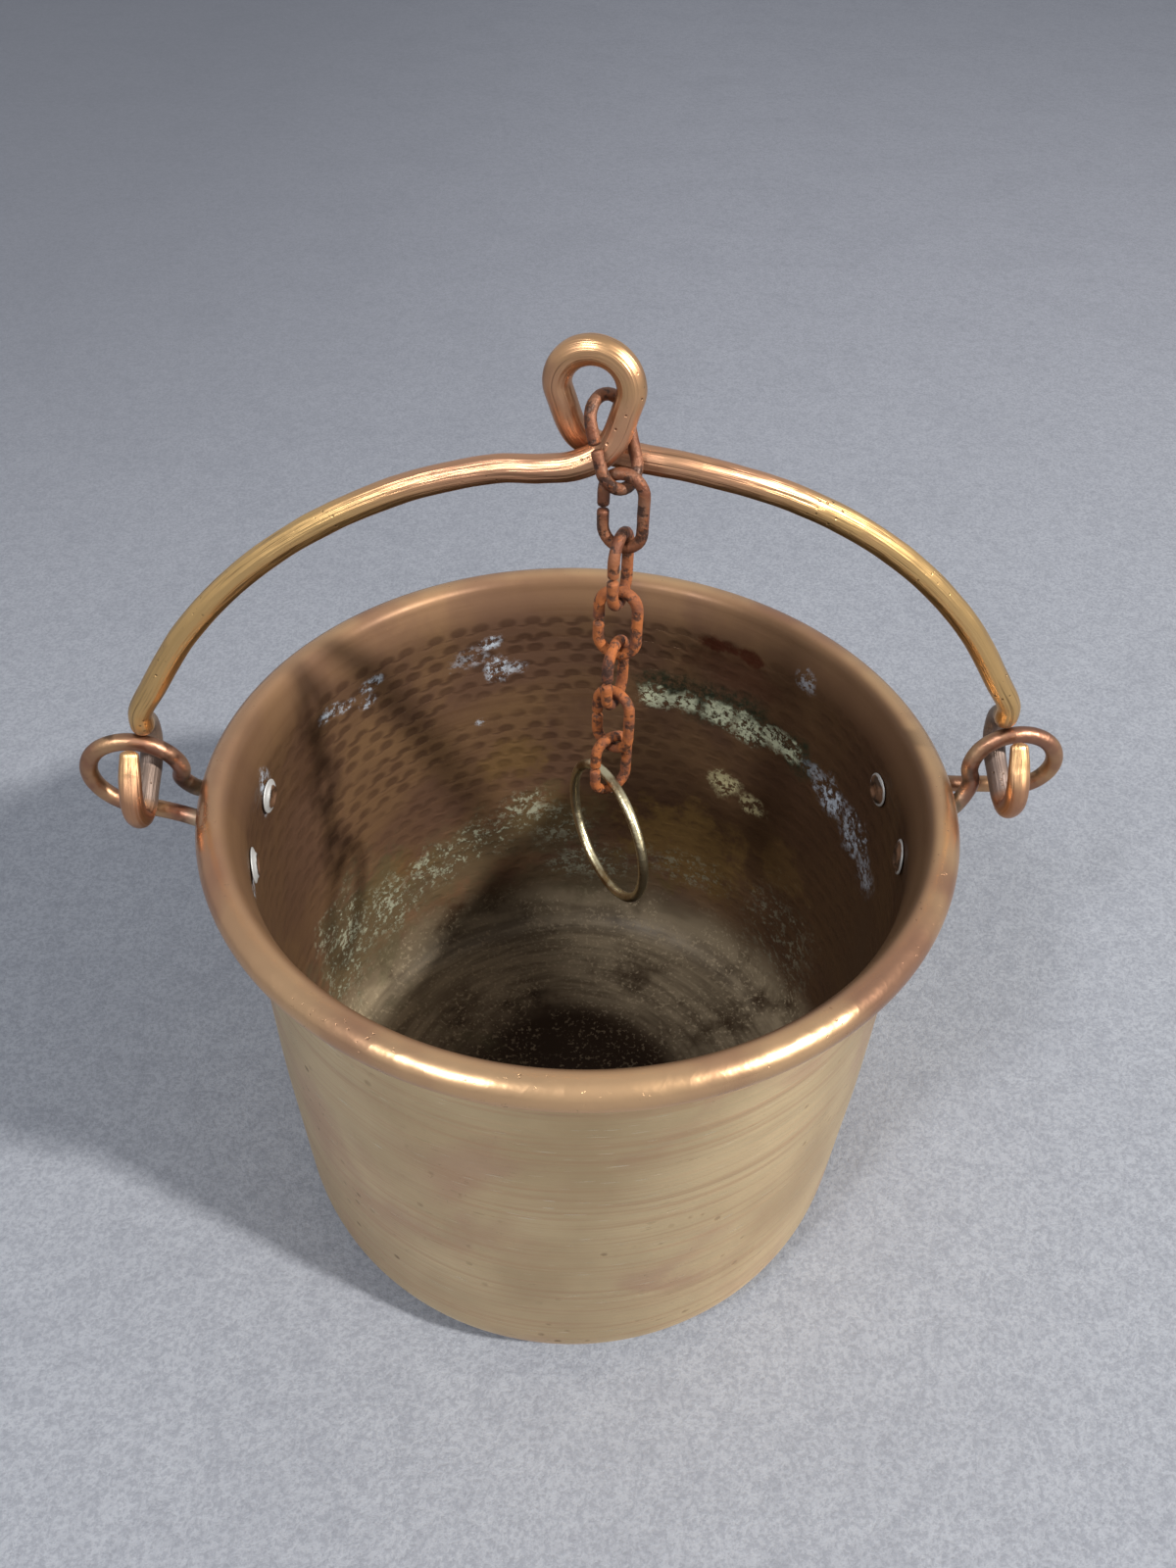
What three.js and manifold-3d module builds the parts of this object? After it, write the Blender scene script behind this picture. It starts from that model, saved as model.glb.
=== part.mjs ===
// Hammered brass kettle with a wire bail and a hanging iron chain, in millimetres, +Z up.
// The origin is on the floor under the vessel's axis, and the two ears lie on the X axis.
import * as THREE from 'three';
import { mergeVertices } from 'three/addons/utils/BufferGeometryUtils.js';
import Module from 'manifold-3d';

// Vessel: one sheet, with its edge rolled outward round an iron wire
const SHEET = 1.2;
const RIM_HEIGHT = 174;
const RIM_RADIUS = 105;
const ROLL_RADIUS = 4.9;
const ROLL_START = Math.PI;
const ROLL_END = THREE.MathUtils.degToRad(-112);
const BASE_RADIUS = 84;
const CORNER_HEIGHT = 22;
const LOWER_RADIUS = 99.2;
const WALL_SWELL = 0.25;
const BELLY_RADIUS = 100;
const BELLY_HEIGHT = 92;
const SHOULDER_RADIUS = 99.1;
const SHOULDER_HEIGHT = 148;
const NECK_RADIUS = 98.1;
const NECK_DROP = 10;
const FLARE = 0.9;
const FLARE_DROP = 4.5;
const CORE_WIRE_RADIUS = 3.3;
const VESSEL_SIDES = 52;
const CORE_WIRE_SIDES = 6;

// Gap kept between pieces that touch on the real kettle, and at the rivets on the slanting wall
const GAP = 0.3;
const PAD_GAP = 0.5;

// Ears: a wire eye beside the rim, its legs passing under the roll to two rivets
const EAR_WIRE_RADIUS = 2.55;
const EYE_REACH = 128;
const EYE_RISE = 5.3;
const EYE_HALF_WIDTH = 12.8;
const EYE_HALF_HEIGHT = 11.3;
const EYE_CROSSING = 2.9;
const EYE_START = THREE.MathUtils.degToRad(-100);
const EYE_END = THREE.MathUtils.degToRad(205);
const RIVET_DROP = 19;
const RIVET_ANGLE = THREE.MathUtils.degToRad(8.7);
const PAD_RADIUS = 5.2;
const PAD_THICKNESS = 2.6;

// Rivets: lathe-turned shape of shank, outer head, inner head and its tinned seat
const SHANK_RADIUS = 2;
const HEAD_RADIUS = 4;
const HEAD_HEIGHT = 1.9;
const SEAT_RADIUS = 5.4;
const SEAT_HEIGHT = 0.5;

// Bail: a rod bent in a circular arc, twisted into a loop at its top and hooked at both ends
const BAIL_WIRE_RADIUS = 3.5;
const HOOK_WIRE_RADIUS = 3.25;
const ARC_RADIUS = 133.7;
const ARC_CENTRE = -30.5;
const ARM_START = 38;
const ARM_END = 116;
const CROSSING_OFFSET = 3.85;
const LOOP_CENTRE_X = 1;
const LOOP_CENTRE_RISE = 121.6;
const LOOP_RADIUS = 8.3;
const LOOP_START = -28;
const LOOP_TURN = 236;
const HOOK_X = 123.9;
const HOOK_LENGTH = 66;
const TIP_RADIUS = 1.5;
const TIP_LENGTH = 13;
const NECK_LENGTH = 14;
const BAIL_SIDES = 10;
const BAIL_STEPS = 136;

// Chain: links of round iron wire, each with its butt gap, and the ring at the end
const LINK_WIRE_RADIUS = 1.55;
const LINK_LENGTH = 22.5;
const LINK_WIDTH = 13.2;
const TOP_LINK_LENGTH = 24.5;
const TOP_LINK_WIDTH = 15;
const BUTT_GAP = 0.5;
const TOP_LINK_CENTRE = new THREE.Vector3(5.71, -4.03, RIM_HEIGHT + 109.93);
const TOP_LINK_TURN = 39.5;
const TOP_LINK_TILT = -35.8;
const TOP_LINK_LEAN = -17.5;
const SLANT_GAP = 0.35;
const LOWER_LINK_TURNS = [-24, 66, -20, 62, -36, 28];
const RING_WIRE_RADIUS = 1.5;
const RING_RADIUS = 21;
const RING_TURN = 116;

const wasm = await Module();
wasm.setup();

const finish = (color, roughness, metalness) => new THREE.MeshStandardMaterial({ color, roughness, metalness });
const brass = finish(0xb3925c, 0.42, 0.95);
const brownBronze = finish(0x9c6b4a, 0.4, 0.95);
const iron = finish(0x8a4a26, 0.85, 0.35);
const darkIron = finish(0x4a4038, 0.8, 0.6);
const tinned = finish(0xb9b6ad, 0.5, 0.8);
const paleBrass = finish(0xc9bc9a, 0.35, 0.95);

/** Turns a closed geometry into a solid that can be joined or cut. */
function toSolid(geometry) {
  const bare = geometry.clone();
  bare.deleteAttribute('normal');
  bare.deleteAttribute('uv');
  const merged = mergeVertices(bare, 1e-4);
  return new wasm.Manifold(new wasm.Mesh({
    numProp: 3,
    vertProperties: Float32Array.from(merged.attributes.position.array),
    triVerts: Uint32Array.from(merged.index.array),
  }));
}

/** Turns a solid back into a geometry with flat faces. */
function toGeometry(solid) {
  const mesh = solid.getMesh();
  const geometry = new THREE.BufferGeometry();
  geometry.setAttribute('position', new THREE.BufferAttribute(mesh.vertProperties, 3));
  geometry.setIndex(new THREE.BufferAttribute(mesh.triVerts, 1));
  geometry.computeVertexNormals();
  return geometry;
}

/** Round section of a wire as a regular polygon. */
function roundSection(radius, sides) {
  const corners = Array.from({ length: sides }, (_, i) => {
    const angle = ((i + 0.5) / sides) * 2 * Math.PI;
    return new THREE.Vector2(radius * Math.cos(angle), radius * Math.sin(angle));
  });
  return new THREE.Shape(corners);
}

/** A wire of round section bent along points. */
function bendWire(points, radius, sides, steps) {
  const path = new THREE.CatmullRomCurve3(points, false, 'centripetal');
  return new THREE.ExtrudeGeometry(roundSection(radius, sides), {
    steps,
    extrudePath: path,
    bevelEnabled: false,
  });
}

/** A wire bent along points, its radius given for every distance from its start. */
function bendTaperedWire(points, radiusAt, sides, steps) {
  const path = new THREE.CatmullRomCurve3(points, false, 'centripetal');
  path.arcLengthDivisions = steps * 8;
  const length = path.getLength();
  const frames = path.computeFrenetFrames(steps, false);
  const corners = [];
  for (let i = 0; i <= steps; i += 1) {
    const centre = path.getPointAt(i / steps);
    const radius = radiusAt((length * i) / steps, length);
    for (let k = 0; k < sides; k += 1) {
      const angle = (k / sides) * 2 * Math.PI;
      corners.push(centre.clone()
        .addScaledVector(frames.normals[i], radius * Math.cos(angle))
        .addScaledVector(frames.binormals[i], radius * Math.sin(angle)));
    }
  }
  corners.push(path.getPointAt(0), path.getPointAt(1));
  const first = corners.length - 2;
  const faces = [];
  for (let k = 0; k < sides; k += 1) {
    const next = (k + 1) % sides;
    for (let i = 0; i < steps; i += 1) {
      const here = i * sides;
      const there = here + sides;
      faces.push(here + k, here + next, there + next, here + k, there + next, there + k);
    }
    faces.push(first, next, k, first + 1, steps * sides + k, steps * sides + next);
  }
  const geometry = new THREE.BufferGeometry().setFromPoints(corners);
  geometry.setIndex(faces);
  geometry.computeVertexNormals();
  return geometry;
}

/** Revolves a closed profile of radius and height points round the Z axis. */
function revolve(profile, sides) {
  return new THREE.LatheGeometry(profile, sides).rotateX(Math.PI / 2);
}

/** Centre line of the vessel's sheet from the axis of the base to the end of the roll. */
function sheetCentreLine() {
  const half = SHEET / 2;
  const line = [new THREE.Vector2(0, half)];
  const cornerSteps = 6;
  for (let i = 0; i <= cornerSteps; i += 1) {
    const angle = (i / cornerSteps) * (Math.PI / 2);
    line.push(new THREE.Vector2(
      BASE_RADIUS + (LOWER_RADIUS - BASE_RADIUS) * Math.sin(angle),
      CORNER_HEIGHT - (CORNER_HEIGHT - half) * Math.cos(angle),
    ));
  }
  line.push(new THREE.Vector2((LOWER_RADIUS + BELLY_RADIUS) / 2 + WALL_SWELL, (CORNER_HEIGHT + BELLY_HEIGHT) / 2));
  line.push(new THREE.Vector2(BELLY_RADIUS, BELLY_HEIGHT));
  line.push(new THREE.Vector2(SHOULDER_RADIUS, SHOULDER_HEIGHT));
  line.push(new THREE.Vector2(NECK_RADIUS, RIM_HEIGHT - NECK_DROP));
  line.push(new THREE.Vector2(NECK_RADIUS + FLARE, RIM_HEIGHT - FLARE_DROP));
  const rollSteps = 12;
  const rollLine = ROLL_RADIUS - half;
  for (let i = 0; i <= rollSteps; i += 1) {
    const angle = ROLL_START + (ROLL_END - ROLL_START) * (i / rollSteps);
    line.push(new THREE.Vector2(
      RIM_RADIUS + rollLine * Math.cos(angle),
      RIM_HEIGHT + rollLine * Math.sin(angle),
    ));
  }
  return line;
}

/** Closed profile that is one sheet thick round a centre line starting on the axis. */
function thicken(line, thickness) {
  const sides = [[], []];
  line.forEach((point, i) => {
    const before = line[Math.max(i - 1, 0)];
    const after = line[Math.min(i + 1, line.length - 1)];
    const along = after.clone().sub(before).normalize();
    const across = new THREE.Vector2(along.y, -along.x).multiplyScalar(thickness / 2);
    if (i === 0) {
      across.set(0, -thickness / 2);
    }
    sides[0].push(point.clone().add(across));
    sides[1].push(point.clone().sub(across));
  });
  return [...sides[0], ...sides[1].reverse()];
}

/** Point at a height, an angle and a distance from the vessel's axis, with the height from the rim's centre. */
function polar(radius, angle, rise) {
  return new THREE.Vector3(radius * Math.cos(angle), radius * Math.sin(angle), RIM_HEIGHT + rise);
}

/** Outer radius of the wall where the ears are riveted. */
const wallRadiusAtRivets = THREE.MathUtils.mapLinear(
  RIM_HEIGHT - RIVET_DROP,
  SHOULDER_HEIGHT,
  RIM_HEIGHT - NECK_DROP,
  SHOULDER_RADIUS,
  NECK_RADIUS,
) + SHEET / 2;

/** Cylinder lying along a radius of the vessel, from one distance to another. */
function radialCylinder(radius, inner, outer, angle, rise, sides) {
  return new THREE.CylinderGeometry(radius, radius, outer - inner, sides)
    .rotateZ(-Math.PI / 2)
    .translate((inner + outer) / 2, 0, 0)
    .rotateZ(angle)
    .translate(0, 0, RIM_HEIGHT + rise);
}

/** The vessel with its rolled rim and the four rivet holes. */
function makeVessel() {
  let solid = toSolid(revolve(thicken(sheetCentreLine(), SHEET), VESSEL_SIDES));
  for (const side of [0, Math.PI]) {
    for (const turn of [RIVET_ANGLE, -RIVET_ANGLE]) {
      const hole = radialCylinder(SHANK_RADIUS + GAP, RIM_RADIUS - 15, RIM_RADIUS, side + turn, -RIVET_DROP, 12);
      solid = solid.subtract(toSolid(hole));
    }
  }
  return toGeometry(solid);
}

/** One ear: the rear leg, the eye and the front leg as one wire, with a flattened pad at each end. */
function makeEar() {
  const padInner = wallRadiusAtRivets + PAD_GAP;
  const padMiddle = padInner + PAD_THICKNESS / 2;
  const legFoot = padInner + EAR_WIRE_RADIUS;
  const route = [
    polar(legFoot, RIVET_ANGLE * 0.93, -RIVET_DROP + 1.5),
    polar(legFoot + 0.4, RIVET_ANGLE * 0.72, -RIVET_DROP + 7),
    polar(RIM_RADIUS + 1.5, RIVET_ANGLE * 0.5, -9),
    new THREE.Vector3(RIM_RADIUS + 9, 5.2, RIM_HEIGHT - 7.6),
  ];
  const eyeSteps = 14;
  for (let i = 0; i <= eyeSteps; i += 1) {
    const t = i / eyeSteps;
    const angle = EYE_START + (EYE_END - EYE_START) * t;
    route.push(new THREE.Vector3(
      EYE_REACH + EYE_HALF_WIDTH * Math.cos(angle),
      EYE_CROSSING * (1 - 2 * t) ** 3,
      RIM_HEIGHT + EYE_RISE + EYE_HALF_HEIGHT * Math.sin(angle),
    ));
  }
  route.push(new THREE.Vector3(RIM_RADIUS + 8.2, -5, RIM_HEIGHT - 6));
  route.push(polar(RIM_RADIUS + 2.4, -RIVET_ANGLE * 0.5, -9.6));
  route.push(polar(legFoot + 0.4, -RIVET_ANGLE * 0.76, -RIVET_DROP + 6));
  route.push(polar(legFoot, -RIVET_ANGLE * 0.95, -RIVET_DROP + 1.5));
  let solid = toSolid(bendWire(route, EAR_WIRE_RADIUS, 8, 46));
  for (const turn of [RIVET_ANGLE, -RIVET_ANGLE]) {
    const pad = radialCylinder(PAD_RADIUS, padInner, padInner + PAD_THICKNESS, turn, -RIVET_DROP, 14);
    solid = solid.add(toSolid(pad));
  }
  for (const turn of [RIVET_ANGLE, -RIVET_ANGLE]) {
    const hole = radialCylinder(SHANK_RADIUS + GAP, padMiddle - 6, padMiddle + 12, turn, -RIVET_DROP, 12);
    const headRoom = radialCylinder(
      HEAD_RADIUS + GAP, padInner + PAD_THICKNESS, padMiddle + 12, turn, -RIVET_DROP, 12,
    );
    solid = solid.subtract(toSolid(hole)).subtract(toSolid(headRoom));
  }
  return toGeometry(solid);
}

/** One rivet along a radius: tinned seat and low head inside, shank, and domed head outside. */
function makeRivet() {
  const wallInside = wallRadiusAtRivets - SHEET;
  const seatSag = wallInside - Math.sqrt(wallInside ** 2 - SEAT_RADIUS ** 2);
  const seatFace = wallInside - PAD_GAP - seatSag;
  const outerFace = wallRadiusAtRivets + PAD_GAP + PAD_THICKNESS + GAP;
  const profile = [
    new THREE.Vector2(0, seatFace - SEAT_HEIGHT - 1),
    new THREE.Vector2(HEAD_RADIUS * 0.55, seatFace - SEAT_HEIGHT - 0.9),
    new THREE.Vector2(HEAD_RADIUS * 0.9, seatFace - SEAT_HEIGHT - 0.2),
    new THREE.Vector2(SEAT_RADIUS * 0.9, seatFace - SEAT_HEIGHT),
    new THREE.Vector2(SEAT_RADIUS, seatFace - SEAT_HEIGHT * 0.4),
    new THREE.Vector2(SEAT_RADIUS, seatFace),
    new THREE.Vector2(SHANK_RADIUS, seatFace),
    new THREE.Vector2(SHANK_RADIUS, outerFace),
    new THREE.Vector2(HEAD_RADIUS, outerFace),
    new THREE.Vector2(HEAD_RADIUS * 0.8, outerFace + HEAD_HEIGHT * 0.65),
    new THREE.Vector2(0, outerFace + HEAD_HEIGHT),
  ];
  return new THREE.LatheGeometry(profile, 10).rotateZ(-Math.PI / 2);
}

/** Places a mesh that lies along +X at a rivet's angle and height. */
function seatRivet(name, side, turn) {
  const mesh = new THREE.Mesh(makeRivet(), tinned);
  mesh.name = name;
  mesh.rotation.z = side + turn;
  mesh.position.z = RIM_HEIGHT - RIVET_DROP;
  return mesh;
}

/** Height over the rim's centre of the bail's circular arc. */
function arcRise(x) {
  return ARC_CENTRE + Math.sqrt(ARC_RADIUS ** 2 - x ** 2);
}

/** Route of the hook at the right end, from the arc's end to its tip. */
function hookRoute() {
  const turns = [
    [-2.5, 0, 27.4], [-1.7, 0.9, 22.3], [-0.7, 4.8, 20.6], [-0.2, 8.1, 16.6], [0, 7.7, 10.8],
    [0.2, 3.6, 5.8], [0.5, -2.4, 2.2], [0.8, -7.6, -0.8], [1, -12.2, -1], [1.2, -14.6, 3],
    [1.2, -13.8, 8.2], [1.2, -10.4, 13.6], [1, -6.2, 19],
  ];
  return turns.map(([out, y, rise]) => new THREE.Vector3(HOOK_X + out, y, RIM_HEIGHT + rise));
}

/** Route of the bail's top: the left arm rises in front into the loop, and the right arm leaves behind it. */
function loopRoute() {
  const front = [[-22, 0.6], [-12, 2.5], [-4, CROSSING_OFFSET], [3.4, CROSSING_OFFSET]];
  const rises = [arcRise(22), 102.4, 104, 108.2];
  const half = front.map(([x, offset], i) => new THREE.Vector3(LOOP_CENTRE_X + x, -offset, RIM_HEIGHT + rises[i]));
  const over = [];
  const overSteps = 8;
  for (let i = 0; i <= overSteps; i += 1) {
    const angle = THREE.MathUtils.degToRad(LOOP_START + (LOOP_TURN * i) / overSteps);
    over.push(new THREE.Vector3(
      LOOP_CENTRE_X + LOOP_RADIUS * Math.cos(angle),
      -CROSSING_OFFSET * 0.8 * Math.cos((Math.PI * i) / overSteps),
      RIM_HEIGHT + LOOP_CENTRE_RISE + LOOP_RADIUS * Math.sin(angle),
    ));
  }
  const mirrored = half.map((p) => new THREE.Vector3(2 * LOOP_CENTRE_X - p.x, -p.y, p.z)).reverse();
  return [...half, ...over, ...mirrored];
}

/** The bail: left hook, left arm, loop, right arm and right hook as one rod, with tapered tips. */
function makeBail() {
  const rightHook = hookRoute();
  const leftHook = rightHook.map((p) => new THREE.Vector3(-p.x, p.y, p.z)).reverse();
  const arm = [];
  const armSteps = 7;
  for (let i = 0; i <= armSteps; i += 1) {
    const x = ARM_START + ((ARM_END - ARM_START) * i) / armSteps;
    arm.push(new THREE.Vector3(x, 0, RIM_HEIGHT + arcRise(x)));
  }
  const leftArm = arm.map((p) => new THREE.Vector3(-p.x, p.y, p.z)).reverse();
  const route = [...leftHook, ...leftArm, ...loopRoute(), ...arm, ...rightHook];
  const radiusAt = (distance, length) => {
    const toEnd = Math.min(distance, length - distance);
    const { lerp, smoothstep } = THREE.MathUtils;
    const hook = lerp(TIP_RADIUS, HOOK_WIRE_RADIUS, smoothstep(toEnd, 0, TIP_LENGTH));
    return lerp(hook, BAIL_WIRE_RADIUS, smoothstep(toEnd, HOOK_LENGTH, HOOK_LENGTH + NECK_LENGTH));
  };
  return bendTaperedWire(route, radiusAt, BAIL_SIDES, BAIL_STEPS);
}

/** One link, its long way along Z and its middle at the origin, with a butt gap in its left side. */
function makeLink(length, width) {
  const bend = width / 2 - LINK_WIRE_RADIUS;
  const straight = length / 2 - LINK_WIRE_RADIUS - bend;
  const points = [new THREE.Vector3(-bend, 0, BUTT_GAP / 2)];
  const bendSteps = 6;
  for (const end of [1, -1]) {
    for (let i = 0; i <= bendSteps; i += 1) {
      const angle = (Math.PI * i) / bendSteps;
      points.push(new THREE.Vector3(
        -end * bend * Math.cos(angle),
        0,
        end * (straight + bend * Math.sin(angle)),
      ));
    }
  }
  points.push(new THREE.Vector3(-bend, 0, -BUTT_GAP / 2));
  return bendWire(points, LINK_WIRE_RADIUS, 7, 24);
}

const kettle = new THREE.Group();

/** Names a mesh and adds it to the kettle. */
function add(name, geometry, material) {
  const mesh = new THREE.Mesh(geometry, material);
  mesh.name = name;
  kettle.add(mesh);
  return mesh;
}

add('vessel', makeVessel(), brass);
const coreWire = new THREE.TorusGeometry(RIM_RADIUS, CORE_WIRE_RADIUS, CORE_WIRE_SIDES, VESSEL_SIDES);
add('rim_core_wire', coreWire, darkIron).position.z = RIM_HEIGHT;
add('right_ear', makeEar(), brownBronze);
const leftEar = add('left_ear', makeEar(), brownBronze);
leftEar.rotation.z = Math.PI;
kettle.add(
  seatRivet('right_ear_rivet_rear', 0, RIVET_ANGLE),
  seatRivet('right_ear_rivet_front', 0, -RIVET_ANGLE),
  seatRivet('left_ear_rivet_rear', Math.PI, -RIVET_ANGLE),
  seatRivet('left_ear_rivet_front', Math.PI, RIVET_ANGLE),
);
add('bail', makeBail(), brass);

// Chain: the top link leans across the bail's crossing, and the others hang straight below it
const topLink = add('chain_link_1', makeLink(TOP_LINK_LENGTH, TOP_LINK_WIDTH), iron);
topLink.rotation.order = 'XZY';
topLink.rotation.set(
  THREE.MathUtils.degToRad(TOP_LINK_TILT),
  THREE.MathUtils.degToRad(TOP_LINK_LEAN),
  THREE.MathUtils.degToRad(TOP_LINK_TURN),
);
topLink.position.copy(TOP_LINK_CENTRE);
const support = new THREE.Vector3(0, 0, LINK_WIRE_RADIUS - TOP_LINK_LENGTH / 2)
  .applyEuler(topLink.rotation)
  .add(TOP_LINK_CENTRE);
support.z += SLANT_GAP;
const drop = LINK_LENGTH - 2 * LINK_WIRE_RADIUS;
const rise = 2 * LINK_WIRE_RADIUS + GAP;
LOWER_LINK_TURNS.forEach((turn, i) => {
  const link = add(`chain_link_${i + 2}`, makeLink(LINK_LENGTH, LINK_WIDTH), iron);
  link.rotation.z = THREE.MathUtils.degToRad(turn);
  link.position.copy(support);
  link.position.z += rise - drop / 2;
  support.z += rise - drop;
});

const ring = add('hanging_ring', new THREE.TorusGeometry(RING_RADIUS, RING_WIRE_RADIUS, 8, 32), paleBrass);
ring.geometry.rotateX(Math.PI / 2);
ring.rotation.z = THREE.MathUtils.degToRad(RING_TURN);
ring.position.copy(support);
ring.position.z += LINK_WIRE_RADIUS + RING_WIRE_RADIUS + GAP - RING_RADIUS;

export default kettle;
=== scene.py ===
"""Dresses the packed kettle: a hammered brass vessel, its ears, bail, chain and ring."""

import logging
import math
from dataclasses import dataclass, field
from enum import Enum
from typing import Any, Callable, Optional, Sequence, Union

import bpy
import numpy as np
from mathutils import Matrix, Vector


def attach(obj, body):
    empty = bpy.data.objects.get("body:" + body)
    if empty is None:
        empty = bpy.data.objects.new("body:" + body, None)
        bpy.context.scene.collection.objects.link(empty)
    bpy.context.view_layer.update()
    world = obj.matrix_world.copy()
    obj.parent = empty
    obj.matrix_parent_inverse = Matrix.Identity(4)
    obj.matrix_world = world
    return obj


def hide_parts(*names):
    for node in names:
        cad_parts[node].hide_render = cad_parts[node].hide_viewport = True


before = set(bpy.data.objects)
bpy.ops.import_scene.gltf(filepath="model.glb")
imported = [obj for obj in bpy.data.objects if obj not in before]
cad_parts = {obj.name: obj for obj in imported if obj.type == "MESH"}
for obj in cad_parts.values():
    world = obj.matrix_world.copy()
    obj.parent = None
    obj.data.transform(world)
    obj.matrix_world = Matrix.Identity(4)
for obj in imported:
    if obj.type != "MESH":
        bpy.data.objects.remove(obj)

LOG = logging.getLogger("kettle")
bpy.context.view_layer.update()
MM = 0.001

# Sizes in millimetres and degrees that several pieces share.
RIM_HEIGHT = 174.0
SHEET = 1.2
WALL_RADIUS = 99.012
RIVET_DROP = 19.0
RIVET_ANGLE = 8.7
PAD_GAP = 0.5
PAD_THICKNESS = 2.6

Shade = tuple[float, float, float, float]
Point = tuple[float, float, float]
Item = bpy.types.Object
Finish = bpy.types.Material


class Side(Enum):
    """The two ears' sides, by their turn round the pot in degrees."""

    RIGHT = 0.0
    LEFT = 180.0


def light(red: int, green: int, blue: int) -> Shade:
    """Turns a colour on the screen's 0 to 255 scale into linear light, with full opacity.

    Args:
        red: Its red part.
        green: Its green part.
        blue: Its blue part.

    Returns:
        The colour.
    """
    shares = (value / 255 for value in (red, green, blue))
    parts = (share / 12.92 if share <= 0.04045 else ((share + 0.055) / 1.055) ** 2.4 for share in shares)
    return (*parts, 1.0)


Feed = Union["Socket", float, int, Sequence[float], str, Any]


def maths(operation: str, meaning: str) -> Callable[..., "Socket"]:
    """Makes a method that adds one Math node to a socket's tree.

    Args:
        operation: The node's operation.
        meaning: The method's docstring.

    Returns:
        The method.
    """

    def method(self: "Socket", *others: Feed) -> "Socket":
        """Adds the node."""
        values = dict(enumerate((self, *others)))
        return self.tree.node("ShaderNodeMath", {"operation": operation}, values)

    method.__doc__ = meaning
    return method


class Socket:
    """A node's output, on which arithmetic adds Math nodes to its tree."""

    def __init__(self, tree: "Tree", link: bpy.types.NodeSocket) -> None:
        """Keeps the tree and the socket."""
        self.tree = tree
        self.link = link

    __add__ = __radd__ = maths("ADD", "Sum.")
    __mul__ = __rmul__ = maths("MULTIPLY", "Product.")
    __sub__ = maths("SUBTRACT", "Difference.")
    __truediv__ = maths("DIVIDE", "Quotient.")
    larger = maths("MAXIMUM", "The larger of two values.")
    root = maths("SQRT", "Square root.")
    size = maths("ABSOLUTE", "Value without its sign.")
    arc = maths("ARCTAN2", "Angle in radians of the point whose X follows.")

    def __rsub__(self, other: Feed) -> "Socket":
        """Difference from a number."""
        return self * -1.0 + other

    def angle_over(self, other: "Socket") -> "Socket":
        """Angle in degrees of the point (other, self)."""
        return self.arc(other) * (180 / math.pi)

    def between(self, low: float, high: float) -> "Socket":
        """Smooth step from 0 at low to 1 at high, where low may be the larger."""
        values = {"Value": self, "From Min": low, "From Max": high}
        return self.tree.node("ShaderNodeMapRange", {"interpolation_type": "SMOOTHSTEP"}, values)


class Tree:
    """Adds nodes to a material or to a geometry group."""

    def __init__(self, nodes: bpy.types.NodeTree) -> None:
        """Keeps the tree that the nodes are added to."""
        self.nodes = nodes

    def node(
        self,
        kind: str,
        settings: Optional[dict[str, Any]] = None,
        values: Optional[dict[Union[str, int], Feed]] = None,
        output: Union[int, str] = 0,
    ) -> Socket:
        """Adds a node.

        Args:
            kind: The node's type.
            settings: Its properties, which are set first.
            values: Values or links of its input sockets, by name or index.
            output: The output that is wanted.

        Returns:
            That output.
        """
        made = self.nodes.nodes.new(kind)
        for key, value in (settings or {}).items():
            setattr(made, key, value)
        for key, value in (values or {}).items():
            self.feed(made.inputs[key], value)
        return Socket(self, made.outputs[output] if made.outputs else None)

    def feed(self, entry: bpy.types.NodeSocket, value: Feed) -> None:
        """Links a socket into an input, or sets the input's value.

        Args:
            entry: The input.
            value: The socket, or the value.
        """
        if isinstance(value, Socket):
            self.nodes.links.new(value.link, entry)
        else:
            entry.default_value = value


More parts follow.
